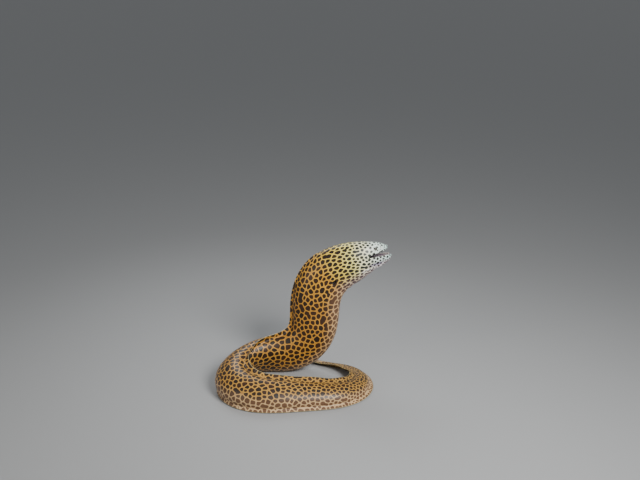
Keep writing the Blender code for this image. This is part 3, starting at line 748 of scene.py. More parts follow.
def outer_arc(spine, s, limit, way):
    """The skin over the back from the left limit to the right one, or under the belly from right to left."""
    back = way > 0
    power = 2.0 / read_table(BACK_ROUNDNESS if back else BELLY_ROUNDNESS, s)
    middle, count = (0.0, UPPER_SIDE) if back else (math.pi, LOWER_SIDE)
    reach = root_reach(s)
    side, height = side_curve(s, limit, reach, middle, power, closer_at_lip(count))
    fin, lean = (dorsal_height(s), dorsal_lean(s)) if back else (anal_height(s), anal_lean(spine, s))
    strip_side, strip_height, level = strip_curve(s, reach, way, fin, lean)
    side = beside(way * side[:, :-1], strip_side[:, ::way], -way * side[:, -2::-1])
    height = beside(height[:, :-1], strip_height[:, ::way], height[:, -2::-1])
    none = np.zeros((len(s), count))
    return side, height, beside(none, level, none)


def half_turn(count):
    """Places across the mouth from 1 to -1, closer together at its sides."""
    return np.cos(math.pi * np.arange(count) / (count - 1))[None, :]


def vault(across):
    """The mouth's round hollow: 1 in the middle, 0 at its sides."""
    return (1 - across**2) ** VAULT_POWER


def mouth_arc(s, start, lip_side, lip, hollow, way):
    """A jaw's rolled rim and its inside, from the left lip to the right: offsets and how much is lining."""
    s, lip_side, lip, hollow = (values[:, None] for values in (s, lip_side, lip, hollow))
    closing = falling(s, MOUTH_CORNER, CORNER_CLOSING)
    thick = np.minimum(LIP_THICKNESS * (0.1 + 0.9 * closing), 0.3 * lip_side)
    t = (np.arange(1, RIM_POINTS + 1) / (RIM_POINTS + 1))[None, :]
    rim_side = lip_side - 0.5 * thick * (1 - np.cos(math.pi * t))
    bulge = LIP_BULGE * closing * rising(s - start, SOLID_TIP, BULGE_GROWTH)
    rim_height = lip - way * bulge * np.sin(math.pi * t) ** 1.5
    across = half_turn(MOUTH_POINTS)
    side = (lip_side - thick) * across
    inward = lip_side - thick - np.abs(side)
    behind = closing * rising(s - start, SOLID_TIP, GUM_GROWTH)
    gum = way * GUM_HEIGHT * behind * bell(inward - GUM_INWARD, GUM_WIDTH)
    pleats = PLEAT_DEPTH * hollow * np.cos(PLEATS * math.pi * across)
    height = lip + hollow * vault(across) - gum + pleats * (1 - across**2)
    front = rising(s - start, *LINING_RISE)
    # The lining's colour, with its painted shade, runs onto the inner half of each rolled lip.
    rim_lining = front * rising(t, *RIM_LINING)
    lining = np.broadcast_to(front, side.shape)
    side = beside(rim_side, side, -rim_side[:, ::-1])
    height = beside(rim_height, height, rim_height[:, ::-1])
    return side, height, beside(rim_lining, lining, rim_lining[:, ::-1])


def jaw_places(start):
    """Rows from a jaw's tip to the mouth's corner, closer together at the tip."""
    t = np.linspace(0.0, 1.0, MOUTH_ROWS + 1)
    t[0] = 0.3 * t[1]
    return start + (MOUTH_CORNER - start) * (0.25 * t**2 + 0.75 * t) ** 1.5


def body_places():
    """Rows from the mouth's corner to the tip of the tail fin."""
    rows = []
    start = MOUTH_CORNER
    for end, step in BODY_STEPS:
        rows.append(np.linspace(start, end, round((end - start) / step) + 1)[:-1])
        start = end
    tip = np.linspace(0.0, 1.0, TIP_ROWS + 1)
    rows.append(FLESH_END + (TOTAL_LENGTH - FLESH_END) * (1 - (1 - tip) ** 1.8) * LAST_ROW)
    return np.concatenate(rows)


def hollow_share(s, start):
    """How deep the mouth is: it grows from the jaw's tip and closes in the gullet."""
    front = rising(s - start, SOLID_TIP, HOLLOW_GROWTH)
    rear = np.clip((s - MOUTH_CORNER) / (GULLET_END - MOUTH_CORNER), 0.0, 1.0)
    return front * np.sqrt(1 - rear**2) + 1e-5


# The lining value of the vertices outside the mouth
OUTSIDE = -1.0


def quads(grid):
    """Four-sided faces between the rows of a grid of vertex numbers."""
    return np.stack([grid[:-1, :-1], grid[:-1, 1:], grid[1:, 1:], grid[1:, :-1]], axis=-1).reshape(-1, 4)


def folded(loop):
    """Faces that fold a closed loop shut, each half on the other."""
    half = len(loop) // 2
    one, two = loop[:half], loop[::-1][:half]
    return np.stack([one[:-1], one[1:], two[1:], two[:-1]], axis=-1)


class Skin:
    """Grids of points for the strips of the one skin, and the number of vertices so far."""

    def __init__(self, spine):
        self.spine = spine
        self.points = []
        self.fields = []
        self.count = 0

    def add(self, s, side, height, level, lining):
        """A grid of new vertices, and their numbers."""
        fields = np.broadcast_arrays(s[:, None], side, height, level, lining)
        self.points.append(self.spine.points(s, side, height).reshape(-1, 3))
        self.fields.append(np.stack(fields, axis=-1).reshape(-1, len(fields)))
        numbers = self.count + np.arange(side.size).reshape(side.shape)
        self.count += side.size
        return numbers

    def add_jaw(self, start, way, lips, tip, growth, depth):
        """A jaw's outside and its inside, as two grids whose rows run from its tip to the mouth's corner."""
        s = jaw_places(start)
        lip = read_table(lips, s)
        left = 0 if way > 0 else -1
        side, height, level = outer_arc(self.spine, s, side_angle(s, lip), way)
        hollow = way * depth * hollow_share(s, start)
        inner_side, inner_height, lining = mouth_arc(s, start, side[:, left], lip, hollow, way)
        wide, edge, rim = (share[:, None] for share in jaw_growth(s, start, growth))
        height, inner_height = (shaped_tip(rows, tip, way, edge, rim) for rows in (height, inner_height))
        side, inner_side = side * wide, inner_side * wide
        corner = (side[:, left].copy(), height[:, left].copy(), narrowing(s, tip, lip))
        side, height = blunted(s - start, side, height, tip, way, *corner)
        inner_side, inner_height = blunted(s - start, inner_side, inner_height, tip, way, *corner)
        return self.add(s, side, height, level, OUTSIDE), self.add(s, inner_side, inner_height, 0.0, lining)

    def add_body(self, s):
        """The body behind the mouth, as a grid over the back and one under the belly, with shared edges."""
        limit = seam_angle(s)
        upper = self.add(s, *outer_arc(self.spine, s, limit, 1), OUTSIDE)
        lower = self.add(s, *(rows[:, 1:-1] for rows in outer_arc(self.spine, s, limit, -1)), OUTSIDE)
        return upper, beside(upper[:, -1:], lower, upper[:, :1])

    def add_gullet(self, s):
        """The end of the mouth's inside behind its corner, closed at the rear."""
        share = hollow_share(s, 0.0)[:, None]
        across = half_turn(INSIDE_POINTS + 2)
        side = half_width(s)[:, None] * GULLET_WIDTH * share * across
        depths = (PALATE_RISE, -MOUTH_FLOOR_DROP)
        top, floor = (self.add(s, side, CORNER_HEIGHT + d * share * vault(across), 0.0, 1.0) for d in depths)
        floor[:, 0] = top[:, 0]
        floor[:, -1] = top[:, -1]
        floor[-1] = top[-1]
        return top, floor


def build_skin(spine):
    """The whole animal's skin as one closed surface: outside, lips and the inside of the mouth."""
    skin = Skin(spine)
    (upper, palate), (lower, floor) = (skin.add_jaw(*jaw) for jaw in JAWS)
    s = body_places()
    back, belly = skin.add_body(s[1:])
    lower[-1, 0] = upper[-1, -1]
    lower[-1, -1] = upper[-1, 0]
    gullet_top, gullet_floor = skin.add_gullet(s[(s > MOUTH_CORNER + 1e-6) & (s < GULLET_END)])
    inner_palate = beside(upper[:, :1], palate, upper[:, -1:])
    inner_floor = beside(lower[:, -1:], floor, lower[:, :1])
    faces = [
        quads(np.concatenate([upper, back])),
        quads(np.concatenate([lower, belly])),
        quads(np.concatenate([inner_palate, gullet_top])[:, ::-1]),
        quads(np.concatenate([inner_floor, gullet_floor])),
        folded(np.concatenate([upper[0], palate[0][::-1]])),
        folded(np.concatenate([lower[0], floor[0]])),
        folded(np.concatenate([back[-1], belly[-1][1:-1]])),
    ]
    return np.concatenate(skin.points), np.concatenate(skin.fields), np.concatenate(faces)


def across_faces(points, faces):
    """For each face a vector along its normal, twice as long as the face is large."""
    return np.cross(points[faces[:, 2]] - points[faces[:, 0]], points[faces[:, 3]] - points[faces[:, 1]])


def vertex_normals(points, faces):
    """The normal of each vertex, weighted by the area of its faces."""
    cross = across_faces(points, faces)
    total = np.zeros_like(points)
    for axis in range(3):
        for corner in range(4):
            total[:, axis] += np.bincount(faces[:, corner], cross[:, axis], len(points))
    return unit(total)


def vertex_areas(points, faces):
    """The share of the surface that belongs to each vertex."""
    area = np.linalg.norm(across_faces(points, faces), axis=1) / 8
    return sum(np.bincount(faces[:, corner], area, len(points)) for corner in range(4))


def mean_of(numbers, values, count):
    """The mean of the values that share a number, for each number up to the count."""
    total = np.stack([np.bincount(numbers, values[:, k], count) for k in range(3)], axis=1)
    return total / np.maximum(np.bincount(numbers, minlength=count), 1)[:, None]


def relax(points, faces, weight, rounds):
    """Evens out the surface where the weight is over 0."""
    near = faces[(weight[faces] > 0).any(axis=1)]
    one = np.concatenate([near[:, k] for k in range(4)])
    two = np.concatenate([near[:, (k + 1) % 4] for k in range(4)])
    ends = np.concatenate([one, two])
    others = np.concatenate([two, one])
    for _ in range(rounds):
        mean = mean_of(ends, points[others], len(points))
        points = points + (mean - points) * weight[:, None]
    return points


def waves(a, b, seed, count=6):
    """A soft noise between about -1 and 1 made of a few crossing waves."""
    rng = np.random.default_rng(seed)
    total = np.zeros_like(a)
    for _ in range(count):
        turn = rng.uniform(0, 2 * math.pi)
        scale = rng.uniform(0.6, 1.6)
        total += np.sin(scale * (a * math.cos(turn) + b * math.sin(turn)) + rng.uniform(0, 2 * math.pi))
    return total / math.sqrt(count)


def eye_places(spine):
    """For each eye its name, its middle and the way it faces."""
    angle = float(side_angle(EYE_AT, EYE_HEIGHT))
    rows = []
    for name, hand in (("eye_left", 1), ("eye_right", -1)):
        place, out = spine.skin(EYE_AT, hand * angle)
        rows.append((name, place - out * (EYE_RADIUS - EYE_PROUD), out))
    return rows


def along_line(s, height, corners):
    """How far each point is over a line through the corners, and 1 within its ends."""
    places, levels = zip(*corners)
    fade = 0.2 * (places[-1] - places[0])
    return height - np.interp(s, places, levels), window(s, places[0], fade, places[-1], fade)


def wrap_round(points, usable, place, out, tail, reach):
    """Draws the grid round a place into circles, along the surface, so that a round rim has a clean edge."""
    one = unit(tail - (tail @ out) * out)
    two = np.cross(out, one)
    away = points - place
    u, v, w = away @ one, away @ two, away @ out
    near = usable & (np.maximum(np.abs(u), np.abs(v)) < reach) & (np.abs(w) < reach)
    u, v, w = u[near], v[near], w[near]

    def terms(a, b):
        return np.stack([a**i * b**k for i in range(4) for k in range(4 - i)], axis=1)
    fit = np.linalg.lstsq(terms(u, v), w, rcond=None)[0]
    size = np.maximum(np.abs(u), np.abs(v)) + 1e-9
    share = smooth(1.8 * (1 - size / reach))
    x, y = u / size, v / size
    new_u = u * (1 - share + share * np.sqrt(1 - 0.5 * y * y))
    new_v = v * (1 - share + share * np.sqrt(1 - 0.5 * x * x))
    new_w = w + (terms(new_u, new_v) - terms(u, v)) @ fit
    points[near] = place + new_u[:, None] * one + new_v[:, None] * two + new_w[:, None] * out


def eye_relief(spine, points):
    """The raised rim round each eye, and the skin that runs in under the eyeball."""
    total = np.zeros(len(points))
    for _, middle, out in eye_places(spine):
        away = points - middle
        along = away @ out
        across = np.linalg.norm(away - along[:, None] * out, axis=1)
        relief = ridges(across, EYE_RIM) - EYE_SOCKET * falling(across, *SOCKET_EDGE)
        total += np.where(along > -0.002, relief, 0.0)
    return total


def lip_relief(s, height):
    """Full lips along both jaws, with a shallow groove outside each."""
    upper = read_table(UPPER_LIP, s)
    lower = read_table(LOWER_LIP, s)
    relief = (ridges(height - upper, UPPER_LIP_RELIEF), ridges(lower - height, LOWER_LIP_RELIEF))
    return window(s, *LIP_SPAN) * np.where(height > 0.5 * (upper + lower), *relief)


def corner_relief(s, height):
    """The crease behind the mouth's corner and the curved one behind that, and the painted shade along the
    curved one.
    """
    over, within = along_line(s, height, CORNER_LINE)
    behind = s - CORNER_TURN[0]
    rise = height - CORNER_TURN[1]
    away = np.hypot(behind, rise)
    facing = falling(np.abs(np.arctan2(rise, behind)), *ARC_FACING)
    _, at, width = CORNER_ARC[0]
    relief = ridges(over, CORNER_CREASE) * within + ridges(away, CORNER_ARC) * facing
    return relief, bell(away - at, width) * facing


def jaw_fold_relief(s, height):
    """The jaw's edge, the hollow under it and the throat's full fold: the relief, and a field that is over 0
    for the painted highlight along the fold and under 0 for the painted shade in the hollow.
    """
    over, within = along_line(s, height, THROAT_FOLD)
    painted_fold_light = within * bell(over, FOLD_RELIEF[0][2])
    jaw = window(s, *JAW_SPAN)
    shadow = jaw * rising(s, *SHADOW_RISE) * bell(height - SHADOW_HEIGHT, SHADOW_WIDTH)
    relief = within * ridges(over, FOLD_RELIEF) + jaw * ridges(height, JAW_EDGE)
    return relief, painted_fold_light - np.minimum(shadow, 1.0 - painted_fold_light)


def branchial_relief(s, height):
    """The long soft pleats of the throat in front of the gill opening."""
    share = window(s, *PLEAT_SPAN) * falling(height, *PLEAT_TOP)
    wander = waves(s / PLEAT_WANDER_LENGTH, height / PLEAT_WANDER_LENGTH, PLEAT_SEED)
    fan = (height + PLEAT_SLANT * (s - PLEAT_LEVEL_AT)) / PLEAT_SPACING + PLEAT_WANDER * wander
    return share * PLEAT_RELIEF * np.sin(2 * math.pi * fan)


def cheek_relief(s, height):
    """The jaw muscle behind the eye and the hollow over the mouth's corner."""
    total = 0.0
    for size, at, length, over, width in (CHEEK_MUSCLE, CHEEK_HOLLOW):
        total = total + size * bell(s - at, length) * bell(height - over, width)
    return total


def gill_relief(spine, points):
    """The oval gill openings with a soft rim, and the painted shade in their insides."""
    total = np.zeros(len(points))
    dark = np.zeros(len(points))
    tail = spine.frame(GILL_AT)[1]
    for hand in (-1, 1):
        place, out = spine.skin(GILL_AT, hand * math.radians(GILL_ANGLE))
        across = unit(np.cross(out, tail))
        away = points - place
        near = np.linalg.norm(away, axis=1) < GILL_REACH
        size = np.hypot(away @ np.cross(across, out) / GILL_HALF_LENGTH, away @ across / GILL_HALF_HEIGHT)
        total += np.where(near, ridges(size, GILL_RIM) - GILL_DEPTH * falling(size, *GILL_DIP), 0.0)
        dark += np.where(near, falling(size, *GILL_SHADE), 0.0)
    return total, dark


def head_pores(spine):
    """Places of the small pores along both jaws."""
    rows = ((UPPER_PORES, UPPER_LIP, UPPER_PORE_RISE), (LOWER_PORES, LOWER_LIP, -LOWER_PORE_DROP))
    for hand in (-1, 1):
        for places, lip, over in rows:
            for s in places:
                yield spine.skin(s, hand * float(side_angle(s, read_table(lip, s) + over)))[0]


def pore_relief(spine, points):
    """The pores: small round pits with a raised rim, and the painted shade in them."""
    total = np.zeros(len(points))
    dark = np.zeros(len(points))
    for place in head_pores(spine):
        away = np.linalg.norm(points - place, axis=1)
        rim = bell(away - PORE_RIM_AT, PORE_RIM_WIDTH)
        total += PORE_RIM * rim - PORE_DEPTH * bell(away, PORE_RADIUS)
        dark += falling(away, *PORE_SHADE)
    return total, np.minimum(dark, 1.0)


def bend_relief(spine, fields):
    """Wrinkles across the inner side of each bend."""
    curve = np.gradient(spine.tail, spine.s[1] - spine.s[0], axis=0)
    s = fields[:, 0]
    bend = np.stack([np.interp(s, spine.s, curve[:, k]) for k in range(3)], axis=1)
    _, _, up, left = spine.frames(s)
    offset = left * fields[:, 1:2] + up * fields[:, 2:3]
    squeeze = (bend * offset).sum(axis=1)
    amount = rising(squeeze, *WRINKLE_RISE) * falling(s, FLESH_END, WRINKLE_FADE)
    girth = np.arctan2(fields[:, 1], fields[:, 2])
    phase = s / WRINKLE_SPACING + WRINKLE_WANDER * waves(s / 0.02, girth * 1.5, WRINKLE_SEED)
    return -WRINKLE_DEPTH * amount * (0.5 + 0.5 * np.cos(2 * math.pi * phase)) ** 2


def soft_floor(height):
    """Keeps the belly over the floor, with a soft edge where it starts to rise."""
    lifted = np.sqrt(height * height + FLOOR_EDGE * FLOOR_EDGE)
    return 0.5 * (height + lifted) - 0.5 * FLOOR_EDGE * np.exp(-np.abs(height) / FLOOR_EDGE)


def placed(name, data):
    """A new object of the scene."""
    thing = bpy.data.objects.new(name, data)
    bpy.context.scene.collection.objects.link(thing)
    return thing


def new_piece(name, mesh, material):
    mesh.materials.append(material)
    piece = placed(name, mesh)
    return piece


def grid_mesh(name, points, faces, fields=None):
    """A smooth mesh from arrays of points and quads, with fields of values for each point."""
    mesh = bpy.data.meshes.new(name)
    mesh.vertices.add(len(points))
    mesh.vertices.foreach_set("co", points.astype(np.float32).ravel())
    mesh.loops.add(faces.size)
    mesh.loops.foreach_set("vertex_index", faces.astype(np.int32).ravel())
    mesh.polygons.add(len(faces))
    mesh.polygons.foreach_set("loop_start", np.arange(0, faces.size, 4, dtype=np.int32))
    mesh.update(calc_edges=True)
    mesh.validate()
    mesh.shade_smooth()
    for field, values in (fields or {}).items():
        add_field(mesh, field, values)
    return mesh


def add_field(mesh, name, values):
    """An attribute with one value, or one vector, for each vertex."""
    kind = "FLOAT_VECTOR" if values.ndim == 2 else "FLOAT"
    field = mesh.attributes.new(name, kind, "POINT")
    field.data.foreach_set("vector" if values.ndim == 2 else "value", values.astype(np.float32).ravel())


def scatter(points, tails, stretch, pitch):
    """Numbers of points, in order, that keep their pitch from each other, and more of it along the body."""
    size = float((pitch * stretch).max())
    places = [(dx, dy, dz) for dx in (-1, 0, 1) for dy in (-1, 0, 1) for dz in (-1, 0, 1)]
    flatter = 1.0 / stretch**2 - stretch
    rows = beside(points, tails, np.stack([stretch, flatter, pitch**2], axis=1)).tolist()
    cells = {}
    kept = []

    def clear(row, cell):
        x, y, z, tx, ty, tz, scale, flat, reach = row
        for dx, dy, dz in places:
            for a, b, c in cells.get((cell[0] + dx, cell[1] + dy, cell[2] + dz), ()):
                a, b, c = x - a, y - b, z - c
                along = a * tx + b * ty + c * tz
                if scale * (a * a + b * b + c * c) + flat * along * along < reach:
                    return False
        return True
    for k, row in enumerate(rows):
        cell = (int(row[0] // size), int(row[1] // size), int(row[2] // size))
        if clear(row, cell):
            cells.setdefault(cell, []).append(tuple(row[:3]))
            kept.append(k)
    return np.array(kept)


def tree_of(points):
    tree = kdtree.KDTree(len(points))
    for k, point in enumerate(points):
        tree.insert(point, k)
    tree.balance()
    return tree


def spot_centres(spine, points, area, s, rng):
    """Centres of the dark spots, spread evenly over the skin at the spacing that each place has."""
    pitch = read_table(SPOT_PITCH, s)
    chance = area / pitch**2
    picked = rng.choice(len(points), PATTERN_SAMPLES, replace=False, p=chance / chance.sum())
    sample = points[picked]
    tails = spine.frames(s[picked])[1]
    kept = scatter(sample, tails, read_table(SPOT_STRETCH, s[picked]), SPOT_SPACING * pitch[picked])
    centres = sample[kept]
    sample_tree = tree_of(sample)
    for _ in range(EVENING_ROUNDS):
        tree = tree_of(centres)
        owner = np.array([tree.find(point)[1] for point in sample])
        goal = centres + EVENING_SHARE * (mean_of(owner, sample, len(centres)) - centres)
        chosen = np.array([sample_tree.find(point)[1] for point in goal])
        centres = sample[chosen]
    return centres, s[picked[chosen]]


def merged_groups(spine, centres, s, rng):
    """Group numbers of the spots: a few run together with a neighbour along the body."""
    group = np.arange(len(centres))
    tree = tree_of(centres)
    tail = spine.frames(s)[1]
    used = set()
    for k in rng.permutation(len(centres))[: int(len(centres) * MERGED_SHARE * 2)]:
        if k in used:
            continue
        for _, other, distance in tree.find_n(centres[k], MERGE_NEAREST)[1:]:
            way = (centres[other] - centres[k]) / distance
            if other not in used and abs(way @ tail[k]) > MERGE_ALONG:
                group[other] = group[k]
                used.update((int(k), other))
                break
    return group


def soft_minimum(rows, sharpness, least=0.0):
    """Each row's smallest value, rounded where two are nearly the same."""
    return -np.log(np.exp(-sharpness * rows).sum(axis=1) + least) / sharpness


def spot_fields(spine, points, area, s):
    """For each vertex: over 0 inside a dark spot and under 0 in the net, and the spot's own shade."""
    rng = np.random.default_rng(PATTERN_SEED)
    centres, centre_s = spot_centres(spine, points, area, s, rng)
    group = merged_groups(spine, centres, centre_s, rng)
    shade = rng.uniform(0.0, 1.0, len(centres))[group]
    size = rng.normal(0.0, SPOT_VARIETY, len(centres)).clip(*VARIETY_LIMITS)[group]
    tree = tree_of(centres)
    owner = np.array([[hit[1] for hit in tree.find_n(point, SPOTS_READ)] for point in points])
    pitch = read_table(SPOT_PITCH, s)
    stretch = read_table(SPOT_STRETCH, s)[:, None]
    away = points[:, None] - centres[owner]
    along = (away * spine.frames(s)[1][:, None]).sum(axis=2)
    far = stretch * (away**2).sum(axis=2) + (1.0 / stretch**2 - stretch) * along**2
    distance = np.sqrt(far) / pitch[:, None] - size[owner]
    best = distance.argmin(axis=1)
    rows = np.arange(len(points))
    own = group[owner] == group[owner[rows, best]][:, None]
    first = soft_minimum(np.where(own, distance, FAR_AWAY), 2 * SPOT_SHARPNESS)
    second = soft_minimum(np.where(own, FAR_AWAY, distance), SPOT_SHARPNESS, 1e-9)
    edge = second - first - read_table(NET_WIDTH, s)
    core = (read_table(SPOT_REACH, s) - size[owner[rows, best]] * 0.5 - first) * 1.6
    return np.minimum(edge, core), shade[owner[rows, best]]


def eye_clearing(spine, points):
    """How far the dark spots draw back from the eyes, so that each eye stands in pale skin."""
    away = [np.linalg.norm(points - place, axis=1) for _, place, _ in eye_places(spine)]
    return EYE_CLEARING * bell(np.minimum(*away), EYE_CLEARING_WIDTH)


class Paint:
    """A material in the making. What adds a node gives back the socket that the node gives out."""

    def __init__(self, name, settings):
        self.material = bpy.data.materials.new(name)
        self.material.use_nodes = True
        self.tree = self.material.node_tree
        self.fill(self.tree.nodes["Principled BSDF"], settings)

    def fill(self, node, inputs):
        """Sets each input to a value or links it to another node's socket."""
        for name, value in inputs.items():
            if isinstance(value, bpy.types.NodeSocket):
                self.tree.links.new(value, node.inputs[name])
            else:
                node.inputs[name].default_value = value

    def node(self, kind, inputs, output=0, **settings):
        node = self.tree.nodes.new("ShaderNode" + kind)
        for name, value in settings.items():
            setattr(node, name, value)
        self.fill(node, inputs)
        return node.outputs[output]

    def math(self, operation, one, two=0.0, three=0.0):
        return self.node("Math", {0: one, 1: two, 2: three}, operation=operation)

    def times(self, one, two):
        return self.math("MULTIPLY", one, two)

    def step(self, value, low, high):
        """A soft step from 0 at low to 1 at high."""
        inputs = {"Value": value, "From Min": low, "From Max": high}
        return self.node("MapRange", inputs, "Result", interpolation_type="SMOOTHSTEP")

    def mix(self, share, one, two, blend="MIX"):
        """A colour between two others."""
        one, two = (rgb if isinstance(rgb, bpy.types.NodeSocket) else (*rgb, 1.0) for rgb in (one, two))
        return self.node("Mix", {"Factor": share, 6: one, 7: two}, 2, data_type="RGBA", blend_type=blend)

    def tinted(self, colour, tint):
        return self.mix(1.0, colour, tint, "MULTIPLY")

    def ramp(self, value, stops):
        """A colour that runs through stops of (place, colour)."""
        colour = self.node("ValToRGB", {"Fac": value}, "Color")
        ramp = colour.node.color_ramp
        ramp.interpolation = "EASE"
        while len(ramp.elements) < len(stops):
            ramp.elements.new(0.5)
        for element, (place, rgb) in zip(ramp.elements, stops):
            element.position = place
            element.color = (*rgb, 1.0)
        return colour

    def place(self):
        return self.node("TexCoord", {}, "Object")

    def noise(self, scale, detail=3.0, roughness=0.5):
        inputs = {"Vector": self.place(), "Scale": scale, "Detail": detail, "Roughness": roughness}
        return self.node("TexNoise", inputs, "Fac")

    def field(self, name, output="Fac"):
        """What add_field has written for each vertex."""
        return self.node("Attribute", {}, output, attribute_name=name)

    def bump(self, height, strength, distance, **more):
        inputs = {"Height": height, "Strength": strength, "Distance": distance}
        return self.node("Bump", inputs | more)

    def finish(self, colour, **more):
        self.fill(self.tree.nodes["Principled BSDF"], {"Base Color": colour} | more)
        return self.material


# Colours of the pale net along the body, from the snout to the tail: the net's own pale cream with lamp tint
# painted in, cool white on the snout and warm amber from the neck on
NET_AND_LAMP_TINT_COLOURS = (
    (0.000, (0.64, 0.83, 0.80)), (0.028, (0.80, 0.91, 0.84)), (0.055, (0.92, 0.91, 0.60)),
    (0.080, (0.93, 0.84, 0.26)), (0.108, (0.89, 0.66, 0.10)), (0.140, (0.78, 0.41, 0.045)),
    (0.220, (0.64, 0.31, 0.040)), (0.600, (0.56, 0.31, 0.060)), (1.000, (0.50, 0.31, 0.085)),
)
NET_MIDDLE = (0.74, 0.60, 0.48)
DARK_SPOT = (0.014, 0.008, 0.004)
WARM_SPOT = (0.046, 0.018, 0.006)
HEAD_SPOT = (0.020, 0.027, 0.021)
# Under the head the net and spots are darker and violet: painted shade, tinted like violet lamp light.
THROAT_VIOLET_SHADE_NET = (0.55, 0.42, 0.46)
THROAT_VIOLET_SHADE_SPOT = (0.11, 0.070, 0.080)
BELLY_NET = (0.66, 0.46, 0.26)
BELLY_SPOT = (0.17, 0.085, 0.040)
# A painted highlight along the throat's fold, and a painted violet shade in the hollow between the jaw's edge
# and the fold.
FOLD_HIGHLIGHT = (0.84, 0.80, 0.80)
JAW_SHADE = (0.34, 0.27, 0.50)
# The mouth's lining: mauve flesh darkened with painted shade; deep in the gullet it is painted shade alone.
LINING = (0.13, 0.095, 0.125)
GULLET_SHADE = (0.035, 0.022, 0.030)
# Painted shade inside the gill openings, pores and nostrils, and along the curved crease behind the mouth's
# corner.
PIT = (0.012, 0.008, 0.008)
FIN_MARGIN = (0.72, 0.62, 0.30)

# Where colours change, as (start, end): along the body, from back to belly, across the pattern, or across the
# painted highlight and painted shade of the throat's fold
HEAD_FADE = (0.17, 0.08)
SNOUT_FADE = (0.11, 0.03)
AMBER_RISE = (0.06, 0.14)
WARM_RISE = (0.05, 0.16)
GULLET_RISE = (0.022, 0.046)
BELLY_RISE = (-0.30, -0.95)
CREST_RISE = (0.1, 1.0)
SHADE_RISE = (-0.1, -1.0)
SPOT_EDGE = (-0.030, 0.050)
NET_EDGE = (-0.07, -0.20)
MARGIN_EDGE = (0.90, 0.99)
MOTTLE_RISE = (0.25, 0.75)

# Colours of the mottling, the eyes, the teeth and the floor
MOTTLE = (0.80, 0.78, 0.76)
WHITE = (1.0, 1.0, 1.0)
IRIS_COLOURS = (
    (0.000, (0.003, 0.003, 0.004)), (0.405, (0.003, 0.003, 0.004)), (0.420, (0.30, 0.23, 0.10)),
    (0.445, (0.13, 0.09, 0.045)), (0.490, (0.030, 0.024, 0.018)), (0.700, (0.018, 0.015, 0.013)),
    (1.000, (0.010, 0.008, 0.008)),
)
IVORY = (0.86, 0.82, 0.70)
IVORY_STREAK = (0.66, 0.58, 0.44)
FLOOR_GREY = (0.33, 0.335, 0.34)


def skin_colour(paint, far, back):
    """Dark rounded spots in a pale net, which runs from white on the snout to amber on the body, partly as
    painted lamp tint; with painted violet shade under the head and a painted highlight and shade on the
    throat's fold.
    """
    low = paint.step(back, *BELLY_RISE)
    head = paint.step(far, *HEAD_FADE)
    painted_fold_light = paint.field("painted_fold_light")
    lit = paint.step(painted_fold_light, *CREST_RISE)
    wobble = paint.math("MULTIPLY_ADD", paint.noise(260.0, 2.0), 0.16, -0.08)
    spot = paint.math("ADD", paint.field("spot"), wobble)
    # The net's colour along the body, partly painted lamp tint: cool white on the head, warm amber on the
    # neck and body.
    net = paint.ramp(far, NET_AND_LAMP_TINT_COLOURS)
    between = paint.times(paint.step(spot, *NET_EDGE), paint.step(far, *AMBER_RISE))
    net = paint.mix(between, net, paint.tinted(net, NET_MIDDLE))
    # Under the belly the net pales; under the head it takes the painted violet shade.
    net = paint.mix(paint.times(low, 0.8), net, paint.mix(head, BELLY_NET, THROAT_VIOLET_SHADE_NET))
    # The painted highlight on the throat's fold, strong on the net.
    net = paint.mix(paint.times(lit, 0.9), net, FOLD_HIGHLIGHT)
    warm = paint.times(paint.field("shade"), paint.step(far, *WARM_RISE))
    dark = paint.mix(paint.step(far, *SNOUT_FADE), paint.mix(warm, DARK_SPOT, WARM_SPOT), HEAD_SPOT)
    # The spots under the head take the same painted violet shade.
    dark = paint.mix(paint.times(low, 0.85), dark, paint.mix(head, BELLY_SPOT, THROAT_VIOLET_SHADE_SPOT))
    # The painted highlight on the fold also lightens the spots a little.
    dark = paint.mix(paint.times(lit, 0.35), dark, FOLD_HIGHLIGHT)
    skin = paint.mix(paint.step(spot, *SPOT_EDGE), net, dark)
    # Painted violet shade in the hollow under the jaw's edge.
    shaded = paint.times(paint.step(painted_fold_light, *SHADE_RISE), 0.8)
    return paint.mix(shaded, skin, paint.tinted(skin, JAW_SHADE))


def skin_material():
    """Wet, smooth skin with the pattern, the fins' margins, the mouth's lining darkened with painted shade,
    and painted shade in the openings.
    """
    wet = {"Roughness": 0.48, "Specular IOR Level": 0.35, "Coat Weight": 0.14, "Coat Roughness": 0.24}
    paint = Paint("honeycomb_skin", wet)
    parts = paint.node("SeparateXYZ", {0: paint.field("along", "Vector")}).node.outputs
    far = parts["X"]
    skin = skin_colour(paint, far, parts["Y"])
    mottle = paint.step(paint.noise(38.0, 4.0, 0.6), *MOTTLE_RISE)
    skin = paint.tinted(skin, paint.mix(mottle, MOTTLE, WHITE))
    skin = paint.mix(paint.times(paint.step(paint.field("fin"), *MARGIN_EDGE), 0.85), skin, FIN_MARGIN)
    # The lining darkens towards the gullet: painted shade deeper in the mouth.
    inside = paint.mix(paint.step(far, *GULLET_RISE), LINING, GULLET_SHADE)
    skin = paint.mix(paint.field("lining"), skin, inside)
    # Painted shade in the openings and along the curved crease.
    skin = paint.mix(paint.field("pit"), skin, PIT)
    fine = paint.bump(paint.noise(900.0, 3.0, 0.6), 0.30, 0.0003)
    return paint.finish(skin, Normal=paint.bump(paint.noise(210.0), 0.30, 0.0008, Normal=fine))


